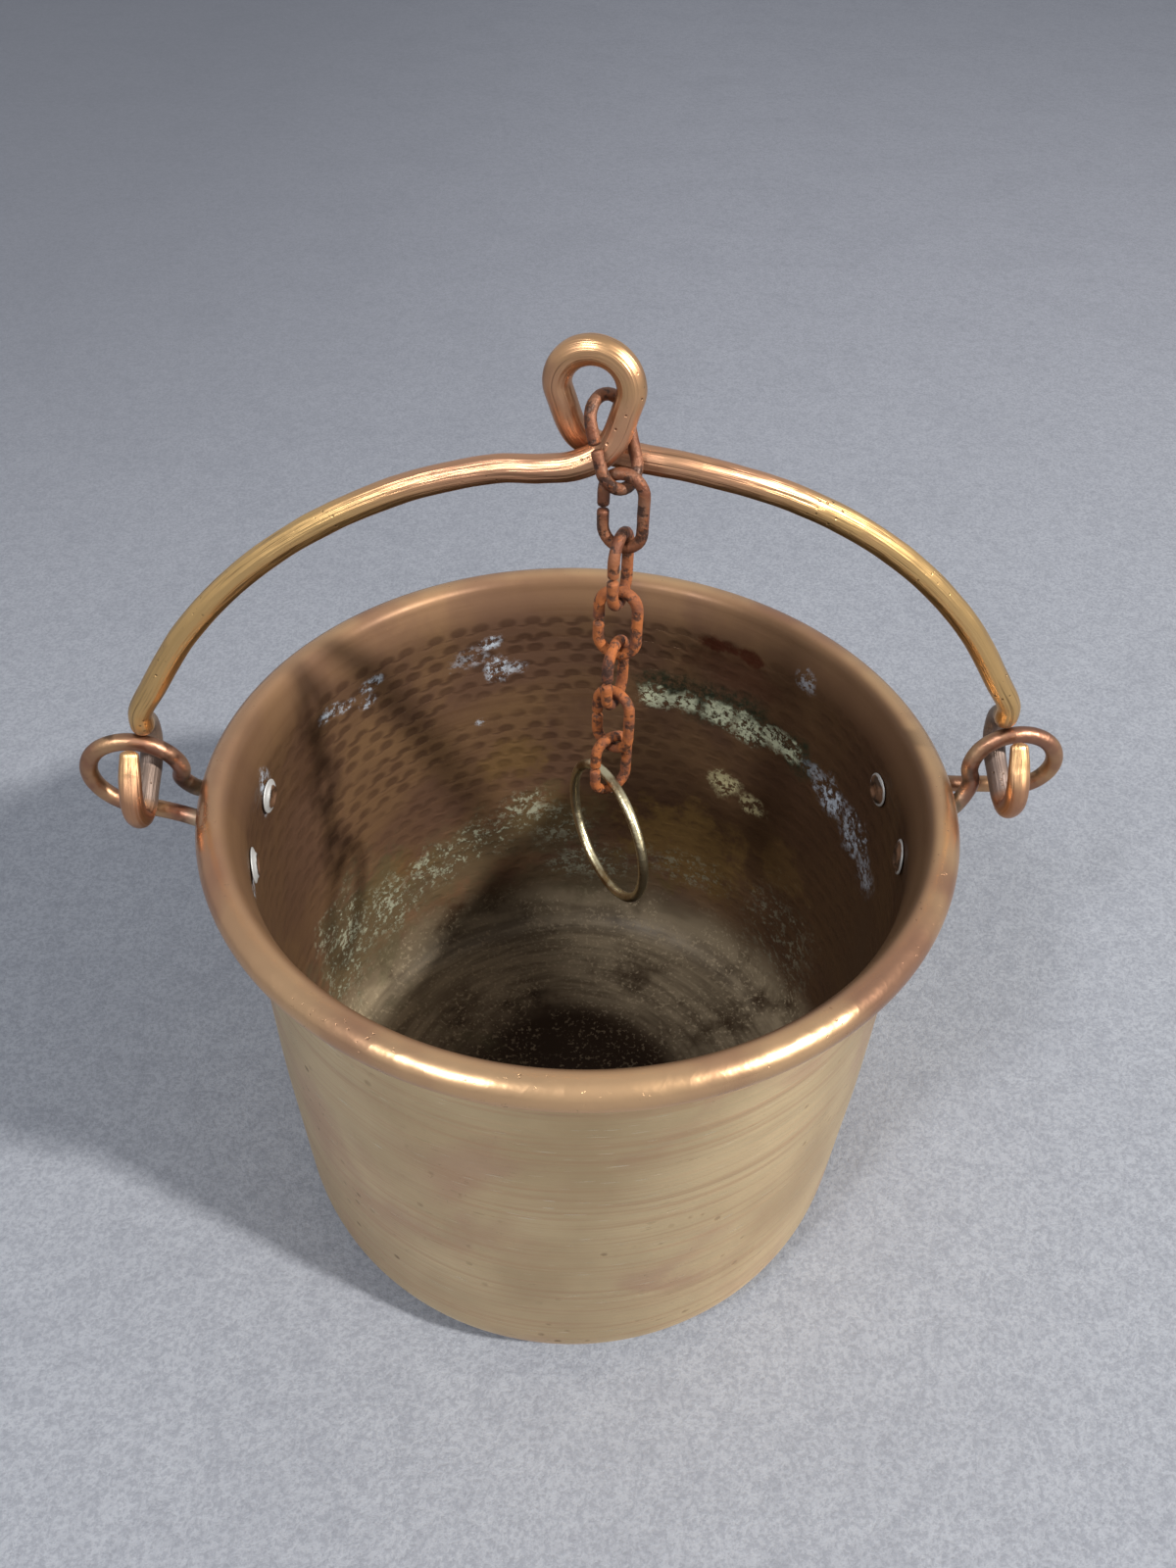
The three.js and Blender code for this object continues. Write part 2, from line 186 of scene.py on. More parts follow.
class Surface(Tree):
    """The nodes of one material."""

    def __init__(self, name: str) -> None:
        """Starts an empty material of that name.

        Args:
            name: The material's name.
        """
        self.material = bpy.data.materials.new(name)
        self.material.use_nodes = True
        super().__init__(self.material.node_tree)
        self.nodes.nodes.clear()
        self.place = self.node("ShaderNodeTexCoord", output="Object")

    def vector(self, operation: str, first: Feed, second: Feed) -> Socket:
        """Adds a Vector Math node."""
        return self.node("ShaderNodeVectorMath", {"operation": operation}, {0: first, 1: second})

    def joined(self, x: Feed, y: Feed, z: Feed = 0.0) -> Socket:
        """A vector of three numbers."""
        return self.node("ShaderNodeCombineXYZ", values={0: x, 1: y, 2: z})

    def cloud(
        self,
        scale: Union[float, Point],
        detail: float = 3.0,
        at: Optional[Socket] = None,
        seed: float = 0.0,
        rough: float = 0.55,
        warp: float = 0.0,
    ) -> Socket:
        """Cloudy noise from 0 to 1.

        Args:
            scale: Repeats per metre, one number or one for each axis.
            detail: How many finer layers it has.
            at: Coordinates, the object's own if left out.
            seed: Tells two clouds apart.
            rough: Weight of the finer layers.
            warp: How much it is bent.

        Returns:
            The noise.
        """
        place = at or self.place
        if isinstance(scale, tuple):
            place, scale = self.vector("MULTIPLY", place, scale), 1.0
        shifted = self.vector("ADD", place, (seed * 7.31, seed * 3.17, seed * 5.73))
        values = {"Vector": shifted, "Scale": scale, "Detail": detail, "Roughness": rough, "Distortion": warp}
        return self.node("ShaderNodeTexNoise", values=values)

    def cells(self, scale: float, at: Optional[Socket] = None, loose: float = 1.0, flat: bool = False) -> Socket:
        """Distance to the nearest of scattered points, in cells.

        Args:
            scale: Cells per metre.
            at: Coordinates, the object's own if left out.
            loose: How far the points stray from a regular grid, from 0 to 1.
            flat: Whether the points are scattered in the plane only.

        Returns:
            The distance.
        """
        settings = {"voronoi_dimensions": "2D" if flat else "3D", "feature": "F1"}
        values = {"Vector": at or self.place, "Scale": scale, "Randomness": loose}
        return self.node("ShaderNodeTexVoronoi", settings, values)

    def mix(self, share: Feed, first: Feed, second: Feed) -> Socket:
        """Blends two colours."""
        settings = {"data_type": "RGBA", "clamp_factor": True}
        return self.node("ShaderNodeMix", settings, {0: share, 6: first, 7: second}, output=2)

    def coats(self, base: Feed, *layers: tuple[Feed, Shade]) -> Socket:
        """Lays colours over a base in turn, each by its own share.

        Args:
            base: The colour under them.
            layers: The share and the colour of each.

        Returns:
            The colour on top.
        """
        for share, shade in layers:
            base = self.mix(share, base, shade)
        return base

    def blend(self, share: Feed, first: Feed, second: Feed) -> Socket:
        """Blends two numbers."""
        settings = {"data_type": "FLOAT", "clamp_factor": True}
        return self.node("ShaderNodeMix", settings, {0: share, 2: first, 3: second})

    def carried(self, name: str, output: str = "Fac") -> Socket:
        """A value that the mesh carries under a name."""
        return self.node("ShaderNodeAttribute", {"attribute_name": name}, output=output)

    def parts(self, vector: Optional[Socket] = None) -> list[Socket]:
        """The three numbers of a vector."""
        split = self.node("ShaderNodeSeparateXYZ", values={0: vector or self.place})
        return [Socket(self, out) for out in split.link.node.outputs]

    def close(
        self,
        colour: Feed,
        roughness: Feed,
        metallic: Feed,
        height: Feed,
        depth: float,
        strength: float = 1.0,
        gloss: float = 0.5,
        brushed: float = 0.0,
    ) -> Finish:
        """Ends the material with its shader.

        Args:
            colour: Base colour.
            roughness: Roughness.
            metallic: Share that is metal.
            height: Relief from 0 to 1.
            depth: The relief's full height in metres.
            strength: How much of the relief is shown.
            gloss: Mirror level where it is not metal.
            brushed: How much level brush lines draw a highlight out in height.

        Returns:
            The finished material.
        """
        bump_values = {"Strength": strength, "Distance": depth, "Height": height}
        bump = self.node("ShaderNodeBump", values=bump_values)
        shader_values = {"Base Color": colour, "Roughness": roughness, "Metallic": metallic, "Normal": bump}
        shader_values |= {"Specular IOR Level": gloss, "Anisotropic": brushed, "Anisotropic Rotation": 0.25}
        shader = self.node("ShaderNodeBsdfPrincipled", values=shader_values)
        self.node("ShaderNodeOutputMaterial", values={"Surface": shader})
        return self.material


@dataclass(frozen=True)
class Deposit:
    """Patches of one deposit on the inner wall, broken into flakes by a fine noise.

    Each patch has its angle in degrees, its height in millimetres, half its extent in both, and a
    weight if that isn't 1.
    """

    colour: Shade
    flakes: tuple[float, float]
    crust: bool
    patches: tuple[tuple[float, ...], ...]

    def mask(self, angle: Socket, height: Socket, ragged: Socket, crumbs: Socket) -> Socket:
        """Where the deposit lies.

        Args:
            angle: Angle round the pot.
            height: Height in metres.
            ragged: Noise that the patches' edges follow.
            crumbs: Finer noise that breaks them up.

        Returns:
            The deposit's share of the surface.
        """
        total: Feed = 0.0
        for turn, rise, half_angle, half_height, *weight in self.patches:
            across = (angle - turn) / half_angle
            up = (height - rise * MM) / (half_height * MM)
            reach = (across * across + up * up).root() + (ragged - 0.5) * 2.8
            spot = reach.between(1.2, 0.5) * (weight[0] if weight else 1.0)
            total = spot.larger(total)
        return total * (crumbs * 0.65 + ragged * 0.35).between(*self.flakes)


# In the order in which they lie: red-brown heat marks, ochre stains, the film and crust of old tide
# lines, the dark edge of the verdigris, blue-white and yellow lime, and the verdigris.
DEPOSITS = (
    Deposit(light(76, 40, 26), (0.2, 0.5), False, ((57, 162, 5, 3.4), (49.5, 162, 4, 3.4), (53, 154, 14, 9, 0.4))),
    Deposit(light(116, 90, 52), (0.2, 0.5), False, (
        (102.4, 95, 9, 11, 0.5), (60, 56, 18, 26, 0.9), (136, 56, 14, 12, 0.5), (34, 72, 9, 14, 0.4),
        (92, 64, 12, 16, 0.4),
    )),
    Deposit(light(86, 80, 58), (0.2, 0.45), False, (
        (146, 42, 20, 34, 0.6), (118, 46, 16, 24, 0.5), (94, 54, 14, 24, 0.5), (84, 28, 20, 16, 0.4),
    )),
    Deposit(light(148, 148, 126), (0.5, 0.56), True, (
        (153, 44, 10, 30), (139, 42, 11, 18), (124, 50, 10, 13), (111, 56, 9, 12), (100, 66, 8, 12, 0.9),
        (92, 56, 9, 14, 0.7), (84, 34, 12, 12, 0.7), (159, 64, 6, 10, 0.8), (60, 42, 14, 10, 0.5),
        (30, 40, 14, 26, 0.4),
    )),
    Deposit(light(48, 52, 38), (0.36, 0.56), False, (
        (68, 136, 7, 8), (58, 133, 9, 10), (48, 134, 9, 10), (35, 132, 6, 9),
    )),
    Deposit(light(168, 176, 186), (0.46, 0.55), True, (
        (107, 155, 2.6, 4), (106, 142.5, 3.4, 6), (112, 150, 5, 5, 0.4), (102, 142, 3, 3, 0.7),
        (135, 156, 3, 3), (136.4, 149, 2, 2.6), (146.5, 156, 3.4, 3), (142.6, 153.5, 2.6, 2.6, 0.8),
        (24, 127, 6, 8), (15, 123, 6, 9, 0.8), (30, 131, 4, 4, 0.5), (8, 119, 6, 8, 0.5),
        (36, 165, 3, 4, 0.5), (110, 118, 1.6, 2, 0.8), (171.5, 158, 3.2, 9), (-171.5, 150, 3, 9),
    )),
    Deposit(light(194, 184, 140), (0.46, 0.52), True, ((52.2, 97.5, 4.4, 6.5), (45, 94.5, 4, 5, 0.8))),
    Deposit(light(190, 194, 164), (0.46, 0.52), True, (
        (70, 130, 5, 5.5), (64, 131, 5, 5), (56, 131, 6, 6.5), (49, 130, 6, 7), (41, 132, 6, 6),
    )),
)  # fmt: skip


@dataclass(frozen=True)
class HammeredBrass:
    """The vessel's finish: brushed outside, rubbed bright on the rim, and stained inside."""

    brass: Shade = light(216, 192, 150)
    warm_brass: Shade = light(190, 152, 116)
    pink_brass: Shade = light(186, 142, 120)
    dull_brass: Shade = light(192, 166, 126)
    dark_mark: Shade = light(84, 62, 46)
    scratch: Shade = light(226, 208, 174)
    rim_gold: Shade = light(212, 172, 130)
    rim_copper: Shade = light(160, 114, 94)
    neck: Shade = light(168, 130, 98)
    brown: Shade = light(116, 88, 62)
    deep_brown: Shade = light(58, 38, 22)
    violet_brown: Shade = light(100, 74, 58)
    blow_patina_and_shade: Shade = light(66, 45, 34)
    floor_crust_and_shade: Shade = light(40, 27, 15)
    floor_speck: Shade = light(158, 142, 116)
    crumb_brown: Shade = light(88, 62, 42)
    blows_round: int = 66
    blow_height: float = 6.3

    def outside(self, s: Surface) -> list[Socket]:
        """Colour, roughness, metal share and relief of the outer wall.

        Args:
            s: The material's nodes.

        Returns:
            The four values, in that order.
        """
        blotch = s.cloud(16, 4, seed=1.0)
        pink = s.cloud(20, 4, seed=2.0, warp=0.4).between(0.5, 0.68)
        lines = s.cloud((24, 24, 2000), 3, seed=3.0)
        wide_lines = s.cloud((9, 9, 430), 3, seed=4.0)
        crumbs = s.cloud(300, 3, seed=8.0, rough=0.7)
        spots = s.cells(150).between(0.24, 0.1) * s.cloud(34, 2, seed=5.0).between(0.54, 0.66)
        nick = s.cloud((150, 150, 950), 2, seed=6.0).between(0.66, 0.72)
        nick = nick * s.cloud(26, 2, seed=7.0).between(0.46, 0.6)
        mark = (spots * 0.7).larger(nick * 0.45).larger(pink * crumbs.between(0.62, 0.7) * 0.5)
        # The pale scratches are rubbed brass and partly a painted glint.
        bright = s.cloud((95, 120, 1500), 1, seed=9.0).between(0.7, 0.76)
        colour = s.coats(
            self.dull_brass,
            (blotch.between(0.3, 0.7), self.brass),
            (pink * 0.45, self.pink_brass),
            (wide_lines.between(0.48, 0.66) * 0.5, self.warm_brass),
            (lines.between(0.5, 0.72) * 0.3, self.pink_brass),
            (mark, self.dark_mark),
            (bright * 0.8, self.scratch),
        )
        rough = s.blend(lines.between(0.3, 0.7), 0.3, 0.37) + blotch * 0.06 + mark * 0.2 - bright * 0.1
        facets = s.cells(62, loose=0.9)
        relief = facets * 0.22 + lines * 0.1 + wide_lines * 0.05 - mark * 0.08 - bright * 0.06
        return [colour, rough, s.blend(mark, 0.96, 0.5), relief]

    def rim(self, s: Surface) -> list[Socket]:
        """Colour, roughness, metal share and relief of the rolled rim.

        Args:
            s: The material's nodes.

        Returns:
            The four values, in that order.
        """
        x, _, _ = s.parts()
        worn = s.cloud(30, 4, seed=11.0)
        copper = s.cloud(19, 3, seed=12.0).between(0.42, 0.62).larger(x.between(-0.06, -0.104) * 0.6)
        pits = s.cloud(760, 2, seed=18.0).between(0.66, 0.74) * s.cloud(60, 2, seed=13.0).between(0.46, 0.6)
        colour = s.coats(self.rim_gold, (copper * 0.75, self.rim_copper), (pits * 0.7, self.dark_mark))
        rough = s.blend(worn.between(0.35, 0.65), 0.26, 0.36) + pits * 0.2
        relief = s.cells(130) * 0.25 + s.cloud(110, 3, seed=14.0) * 0.3 - pits * 0.16
        return [colour, rough, s.blend(pits, 0.96, 0.6), relief]

    def blows(self, s: Surface) -> Socket:
        """Distance to the nearest hammer blow, which lie in rows round the wall.

        Args:
            s: The material's nodes.

        Returns:
            The distance, in blows.
        """
        x, y, z = s.parts()
        turn = ((x * -1.0).angle_over(y) + 180) / 360
        row = z / (self.blow_height * MM) + s.cloud(9, 2, seed=20.0) * 0.8
        level = s.node("ShaderNodeMath", {"operation": "FLOOR"}, {0: row})
        across = turn * float(self.blows_round) + level * 0.37
        return s.cells(1.0, at=s.joined(across, row), loose=0.3, flat=True)

    def inside(self, s: Surface) -> list[Socket]:
        """Colour, roughness, metal share and relief of the inner wall and floor.

        Args:
            s: The material's nodes.

        Returns:
            The four values, in that order.
        """
        x, y, z = s.parts()
        angle = y.angle_over(x)
        radius = (x * x + y * y).root()
        on_wall = z.between(0.01, 0.03)
        on_floor = 1 - on_wall
        stain = s.cloud(24, 5, seed=21.0, warp=0.6)
        fine = s.cloud(260, 3, seed=23.0)
        ragged = s.cloud(85, 5, seed=24.0, rough=0.7)
        crumbs = s.cloud(380, 5, seed=25.0, rough=0.75)
        lines = s.cloud((18, 18, 420), 3, seed=29.0)
        # Painted shade: the wall is darkened on the right side and, half as much, on the left.
        painted_shade_sides = angle.size().between(64, 24).larger(angle.size().between(150, 176) * 0.5) * on_wall
        neck = z.between(0.162, 0.174)
        # The hammer blows' dark tint is partly patina in their hollows and partly painted shade on their shadowed
        # sides, strongest high on the back-left wall.
        dent = self.blows(s).between(0.46, 0.2) * on_wall * z.between(0.167, 0.162)
        dent = dent * s.cloud(26, 3, seed=30.0).between(0.32, 0.5)
        clear = angle.between(58, 84) * angle.between(166, 142) * z.between(0.07, 0.1) * 0.75 + 0.25
        rings = s.cloud(1.0, 2, at=s.joined(radius * 330, angle * 0.05), seed=28.0)
        dust = (rings.between(0.3, 0.66) * 0.5 + 0.5) * s.cloud(40, 5, seed=26.0, rough=0.65).between(0.26, 0.56)
        dust = dust * z.between(0.034, 0.008) * radius.between(0.038, 0.054)
        flecks = s.cloud(620, 2, seed=19.0, rough=0.6).between(0.55, 0.64)
        specks = flecks * s.cloud(60, 3, seed=27.0).between(0.34, 0.52) * on_floor
        specks = specks * (rings.between(0.3, 0.6) * 0.5 + 0.5)
        floor_light = radius.between(0.036, 0.06) * 0.75 + 0.25
        masks = [deposit.mask(angle, z, ragged, crumbs) for deposit in DEPOSITS]
        colour = s.coats(
            self.violet_brown,
            (stain.between(0.34, 0.66), self.brown),
            (s.cloud(9, 3, seed=22.0).between(0.5, 0.68) * 0.6, self.deep_brown),
            (lines.between(0.5, 0.72) * 0.35, self.crumb_brown),
            (painted_shade_sides * 0.65, self.deep_brown),
            (neck * 0.2, self.neck),
            (dent * clear * 0.6, self.blow_patina_and_shade),
            # The floor's near-black brown is partly dark crust and partly painted shade.
            (on_floor * 0.92, self.floor_crust_and_shade),
            (dust * 0.7, self.floor_speck),
            (specks * (floor_light * 0.4 + 0.4), self.floor_speck),
            *((mask, deposit.colour) for mask, deposit in zip(masks, DEPOSITS)),
        )
        crust = specks * 0.5
        for mask, deposit in zip(masks, DEPOSITS):
            crust = crust.larger(mask) if deposit.crust else crust
        rough = s.blend(stain.between(0.3, 0.7), 0.36, 0.48) + fine * 0.06 - neck * 0.04
        bare_metal = s.blend(neck, z.between(0.03, 0.08) * 0.26 + 0.02, 0.34)
        relief = 0.5 - dent * 0.28 + fine * 0.04 + crust * 0.16 + lines * 0.08
        return [colour, s.blend(crust, rough, 0.85), s.blend(crust, bare_metal, 0.0), relief]

    def make(self, within: bool) -> Finish:
        """Builds the material of the sheet's inner or outer face, which reads the mesh's rim value.

        Args:
            within: Whether it is the inner face.

        Returns:
            The material.
        """
        s = Surface("stained_brass" if within else "brushed_brass")
        face = self.inside(s) if within else self.outside(s)
        rim = s.carried("rim")
        joined = [(s.blend if i else s.mix)(rim, *pair) for i, pair in enumerate(zip(face, self.rim(s)))]
        gloss, brushed = (0.15, 0.4) if within else (0.5, 0.72)
        return s.close(*joined, depth=0.0009, strength=0.8, gloss=gloss, brushed=brushed)


@dataclass(frozen=True)
class WornRod:
    """Bright rubbed brass rod with coppery patches and ridges along its length."""

    gold: Shade = light(216, 176, 118)
    copper: Shade = light(204, 154, 120)
    worn_copper: Shade = light(160, 112, 88)
    stain: Shade = light(96, 70, 48)
    solder_and_shade: Shade = light(92, 86, 84)

    def make(self) -> Finish:
        """Builds the material, which reads the rod's own along and section values.

        Returns:
            The material.
        """
        s = Surface("worn_rod")
        _, _, z = s.parts()
        across_x, across_y, _ = s.parts(s.carried("section", "Vector"))
        drawn = s.joined(across_x, across_y, s.carried("along") * 9)
        ridge = s.cloud(3.2, 3, at=drawn, seed=31.0)
        scratch = s.cloud(11, 2, at=drawn, seed=32.0)
        worn = s.cloud(34, 4, seed=33.0)
        lower = z.between(0.2, 0.186)
        coppery = z.between(0.262, 0.276).larger(lower * 0.9) * (worn.between(0.3, 0.6) * 0.5 + 0.5)
        # Grey on the hooks' shanks is partly solder and partly painted shade.
        to_end = s.carried("to_end")
        shank = to_end.between(0.024, 0.03) * to_end.between(0.066, 0.058) * worn.between(0.3, 0.42)
        pits = s.cells(520).between(0.24, 0.1) * s.cloud(70, 2, seed=34.0).between(0.5, 0.65)
        colour = s.coats(
            self.gold,
            (coppery.larger(worn.between(0.6, 0.75) * 0.5), self.copper),
            (lower * worn.between(0.35, 0.6) * 0.6, self.worn_copper),
            (ridge.between(0.42, 0.3) * 0.55, self.stain),
            (shank * 0.85, self.solder_and_shade),
            (pits * 0.8, self.stain),
        )
        rough = s.blend(worn, 0.26, 0.44) + scratch.between(0.5, 0.7) * 0.08
        relief = ridge * 0.5 + scratch * 0.1 + s.cells(150) * 0.2 - pits * 0.2
        return s.close(colour, rough + shank * 0.15, s.blend(shank, 1.0, 0.6), relief, depth=0.0007)


@dataclass(frozen=True)
class BrownWire:
    """Coppery brown ear wire with grey solder by its roots."""

    copper: Shade = light(148, 106, 86)
    gold: Shade = light(182, 144, 108)
    solder: Shade = light(158, 152, 132)
    stain: Shade = light(62, 44, 34)

    def make(self) -> Finish:
        """Builds the material.

        Returns:
            The material.
        """
        s = Surface("brown_wire")
        x, _, _ = s.parts()
        worn = s.cloud(60, 4, seed=41.0)
        root = x.size().between(0.117, 0.108) * s.cloud(110, 3, seed=43.0).between(0.36, 0.52)
        colour = s.coats(
            self.copper,
            (worn.between(0.42, 0.68), self.gold),
            (s.cloud(130, 3, seed=42.0).between(0.56, 0.7) * 0.7, self.stain),
            (root * 0.85, self.solder),
        )
        rough = s.blend(worn, 0.34, 0.5) + root * 0.2
        relief = s.cloud(190, 3, seed=44.0) * 0.5 + s.cells(230) * 0.4 + root * 0.2
        return s.close(colour, rough, s.blend(root, 1.0, 0.6), relief, depth=0.0006)


@dataclass(frozen=True)
class RustyIron:
    """Forged wire under orange and dark brown rust."""

    orange: Shade = light(160, 90, 42)
    red_brown: Shade = light(108, 62, 40)
    dark: Shade = light(48, 34, 28)
    rubbed: Shade = light(104, 84, 72)

    def make(self, name: str = "rusty_iron") -> Finish:
        """Builds the material under a name.

        Args:
            name: The material's name.

        Returns:
            The material.
        """
        s = Surface(name)
        _, _, z = s.parts()
        patch = s.cloud(150, 4, seed=51.0)
        grain = s.cloud(900, 3, seed=52.0, rough=0.7)
        low = z.between(0.274, 0.24)
        dark = s.cloud(330, 4, seed=53.0, rough=0.65).between(0.5, 0.6)
        colour = s.coats(
            self.red_brown,
            (patch.between(0.36, 0.6), self.orange),
            ((1 - low) * patch.between(0.3, 0.62) * 0.75, self.rubbed),
            (dark * 0.8, self.dark),
            (grain.between(0.58, 0.7) * 0.5, self.orange),
        )
        rough = s.blend(low, 0.5, 0.82) - dark * 0.15
        relief = grain * 0.5 + patch * 0.5 - dark * 0.25
        return s.close(colour, rough, s.blend(low, 0.5, 0.12), relief, depth=0.0005)


@dataclass(frozen=True)
class PaleBrass:
    """Thin pale ring, rubbed and slightly tarnished."""

    pale: Shade = light(206, 194, 158)
    tarnish: Shade = light(136, 112, 78)

    def make(self) -> Finish:
        """Builds the material.

        Returns:
            The material.
        """
        s = Surface("pale_brass")
        worn = s.cloud(80, 4, seed=61.0)
        colour = s.mix(worn.between(0.45, 0.65), self.pale, self.tarnish)
        relief = s.cloud(300, 3, seed=62.0)
        return s.close(colour, s.blend(worn, 0.26, 0.46), 1.0, relief, depth=0.0003)


@dataclass(frozen=True)
class TinnedRivet:
    """Dull tin on the rivets' seats inside the wall, and brown brass on their outer heads."""

    tin: Shade = light(206, 206, 204)
    grey: Shade = light(66, 50, 38)
    rubbed: Shade = light(120, 88, 66)
    brown: Shade = light(160, 118, 88)
    inner_radius: float = 98.5

    def make(self) -> Finish:
        """Builds the material.

        Returns:
            The material.
        """
        s = Surface("tinned_rivet")
        x, y, _ = s.parts()
        within = (x * x + y * y).root().between((self.inner_radius + 0.4) * MM, self.inner_radius * MM)
        worn = s.cloud(240, 3, seed=71.0)
        share = s.carried("share") + (worn - 0.5) * 0.35
        right = x.between(-0.01, 0.01)
        ring = share.between(0.6, 0.7) * (1 - right) + share.between(0.84, 0.92) * right * 0.7
        inner_face = s.mix(ring, s.mix(worn.between(0.4, 0.6), self.rubbed, self.grey), self.tin)
        colour = s.mix(within, s.mix(worn.between(0.4, 0.6), self.brown, self.rubbed), inner_face)
        rough = s.blend(within, 0.4, 0.5) + worn * 0.1
        return s.close(colour, rough, s.blend(within, 0.95, 0.55), worn, depth=0.0003)


@dataclass(frozen=True)
class Felt:
    """The pale blue-grey cloth that the kettle stands on."""

    near: Shade = light(146, 149, 156)
    painted_far_shade: Shade = light(144, 146, 155)
    shade: Shade = light(104, 107, 116)

    def make(self) -> Finish:
        """Builds the material.

        Returns:
            The material.
        """
        s = Surface("felt")
        x, y, _ = s.parts()
        fibres = s.cloud(620, 4, seed=81.0, rough=0.7)
        mottle = s.cloud(120, 4, seed=82.0, rough=0.6)
        broad = s.cloud(14, 3, seed=83.0)
        colour = s.coats(
            self.near,
            # Painted shade: the cloth turns a touch darker towards the back.
            (y.between(0.0, 1.1), self.painted_far_shade),
            (fibres.between(0.4, 0.62) * 0.45, self.shade),
            (mottle.between(0.4, 0.7) * 0.2 + broad.between(0.4, 0.7) * 0.1, self.shade),
            # Painted shade darkens the back left of the cloth.
            (y.between(-0.1, 0.8) * x.between(0.3, -0.5) * 0.5, self.shade),
        )
        return s.close(colour, 0.95, 0.0, fibres * 0.7 + mottle * 0.3, depth=0.0009)


def spline(points: Sequence[Sequence[float]], per_span: int) -> np.ndarray:
    """Smooth curve through points, with centripetal spacing.

    Args:
        points: The points that it goes through.
        per_span: Steps between two neighbouring points.

    Returns:
        The curve's points.
    """
    given = np.array(points, float)
    ends = (2 * given[0] - given[1], 2 * given[-1] - given[-2])
    knots = np.vstack([ends[0], given, ends[1]])
    result = []
    for first in range(len(given) - 1):
        p = knots[first : first + 4]
        t = np.concatenate([[0.0], np.cumsum(np.linalg.norm(np.diff(p, axis=0), axis=1) ** 0.5)])
        for u in np.linspace(t[1], t[2], per_span, endpoint=False):
            a = [((t[i + 1] - u) * p[i] + (u - t[i]) * p[i + 1]) / (t[i + 1] - t[i]) for i in range(3)]
            b = [((t[i + 2] - u) * a[i] + (u - t[i]) * a[i + 1]) / (t[i + 2] - t[i]) for i in range(2)]
            result.append(((t[2] - u) * b[0] + (u - t[1]) * b[1]) / (t[2] - t[1]))
    result.append(given[-1])
    return np.array(result)


def smooth_step(value: Union[float, np.ndarray], low: float, high: float) -> np.ndarray:
    """Smooth step from 0 at low to 1 at high."""
    share = np.clip((value - low) / (high - low), 0.0, 1.0)
    return share * share * (3 - 2 * share)


def new_object(name: str, data: bpy.types.ID) -> Item:
    """Puts data in the scene as an object at the origin.

    Args:
        name: The object's name.
        data: Its mesh, curve, lamp or camera.

    Returns:
        The object.
    """
    made = bpy.data.objects.new(name, data)
    bpy.context.scene.collection.objects.link(made)
    return made


def settled(source: Item, name: str) -> Item:
    """Turns an object with modifiers into a plain smooth mesh.

    Args:
        source: The object, which is removed.
        name: The name of the result.

    Returns:
        The new object.
    """
    bpy.context.view_layer.update()
    graph = bpy.context.evaluated_depsgraph_get()
    mesh = bpy.data.meshes.new_from_object(source.evaluated_get(graph))
    mesh.polygons.foreach_set("use_smooth", [True] * len(mesh.polygons))
    mesh.name = name
    bpy.data.objects.remove(source)
    return new_object(name, mesh)


@dataclass
class Grid:
    """A closed strip of profile points turned round the Z axis into a mesh."""

    name: str
    rows: np.ndarray
    sides: int
    values: dict[str, np.ndarray] = field(default_factory=dict)

    def build(self, shift: Optional[Callable[[np.ndarray, np.ndarray], np.ndarray]] = None) -> Item:
        """Turns the profile, whose first and last points lie on the axis.

        Args:
            shift: Radial change in metres for arrays of angle and row number.

        Returns:
            The object.
        """
        ring = self.rows[1:-1]
        angles = np.arange(self.sides) / self.sides * 2 * math.pi - math.pi / 2
        angle, row = np.meshgrid(angles, np.arange(len(ring)))
        radius = ring[row, 0] + (shift(angle, row) if shift else 0.0)
        around = np.stack([radius * np.cos(angle), radius * np.sin(angle), ring[row, 1]], -1).reshape(-1, 3)
        corners = np.vstack([around, [[0, 0, self.rows[0][1]], [0, 0, self.rows[-1][1]]]])
        first, last, top = len(around), len(around) + 1, len(around) - self.sides
        columns = [(k, (k + 1) % self.sides) for k in range(self.sides)]
        faces: list[tuple[int, ...]] = []
        for here in range(0, top, self.sides):
            there = here + self.sides
            faces += [(here + k, here + n, there + n, there + k) for k, n in columns]
        for k, n in columns:
            faces += [(first, n, k), (last, top + k, top + n)]
        mesh = bpy.data.meshes.new(self.name)
        mesh.from_pydata(corners.tolist(), [], faces)
        for label, per_row in self.values.items():
            carried = np.concatenate([np.repeat(per_row[1:-1], self.sides), per_row[[0, -1]]])
            mesh.attributes.new(label, "FLOAT", "POINT").data.foreach_set("value", carried.astype(np.float32))
        mesh.polygons.foreach_set("use_smooth", [True] * len(mesh.polygons))
        mesh.update()
        return new_object(self.name, mesh)


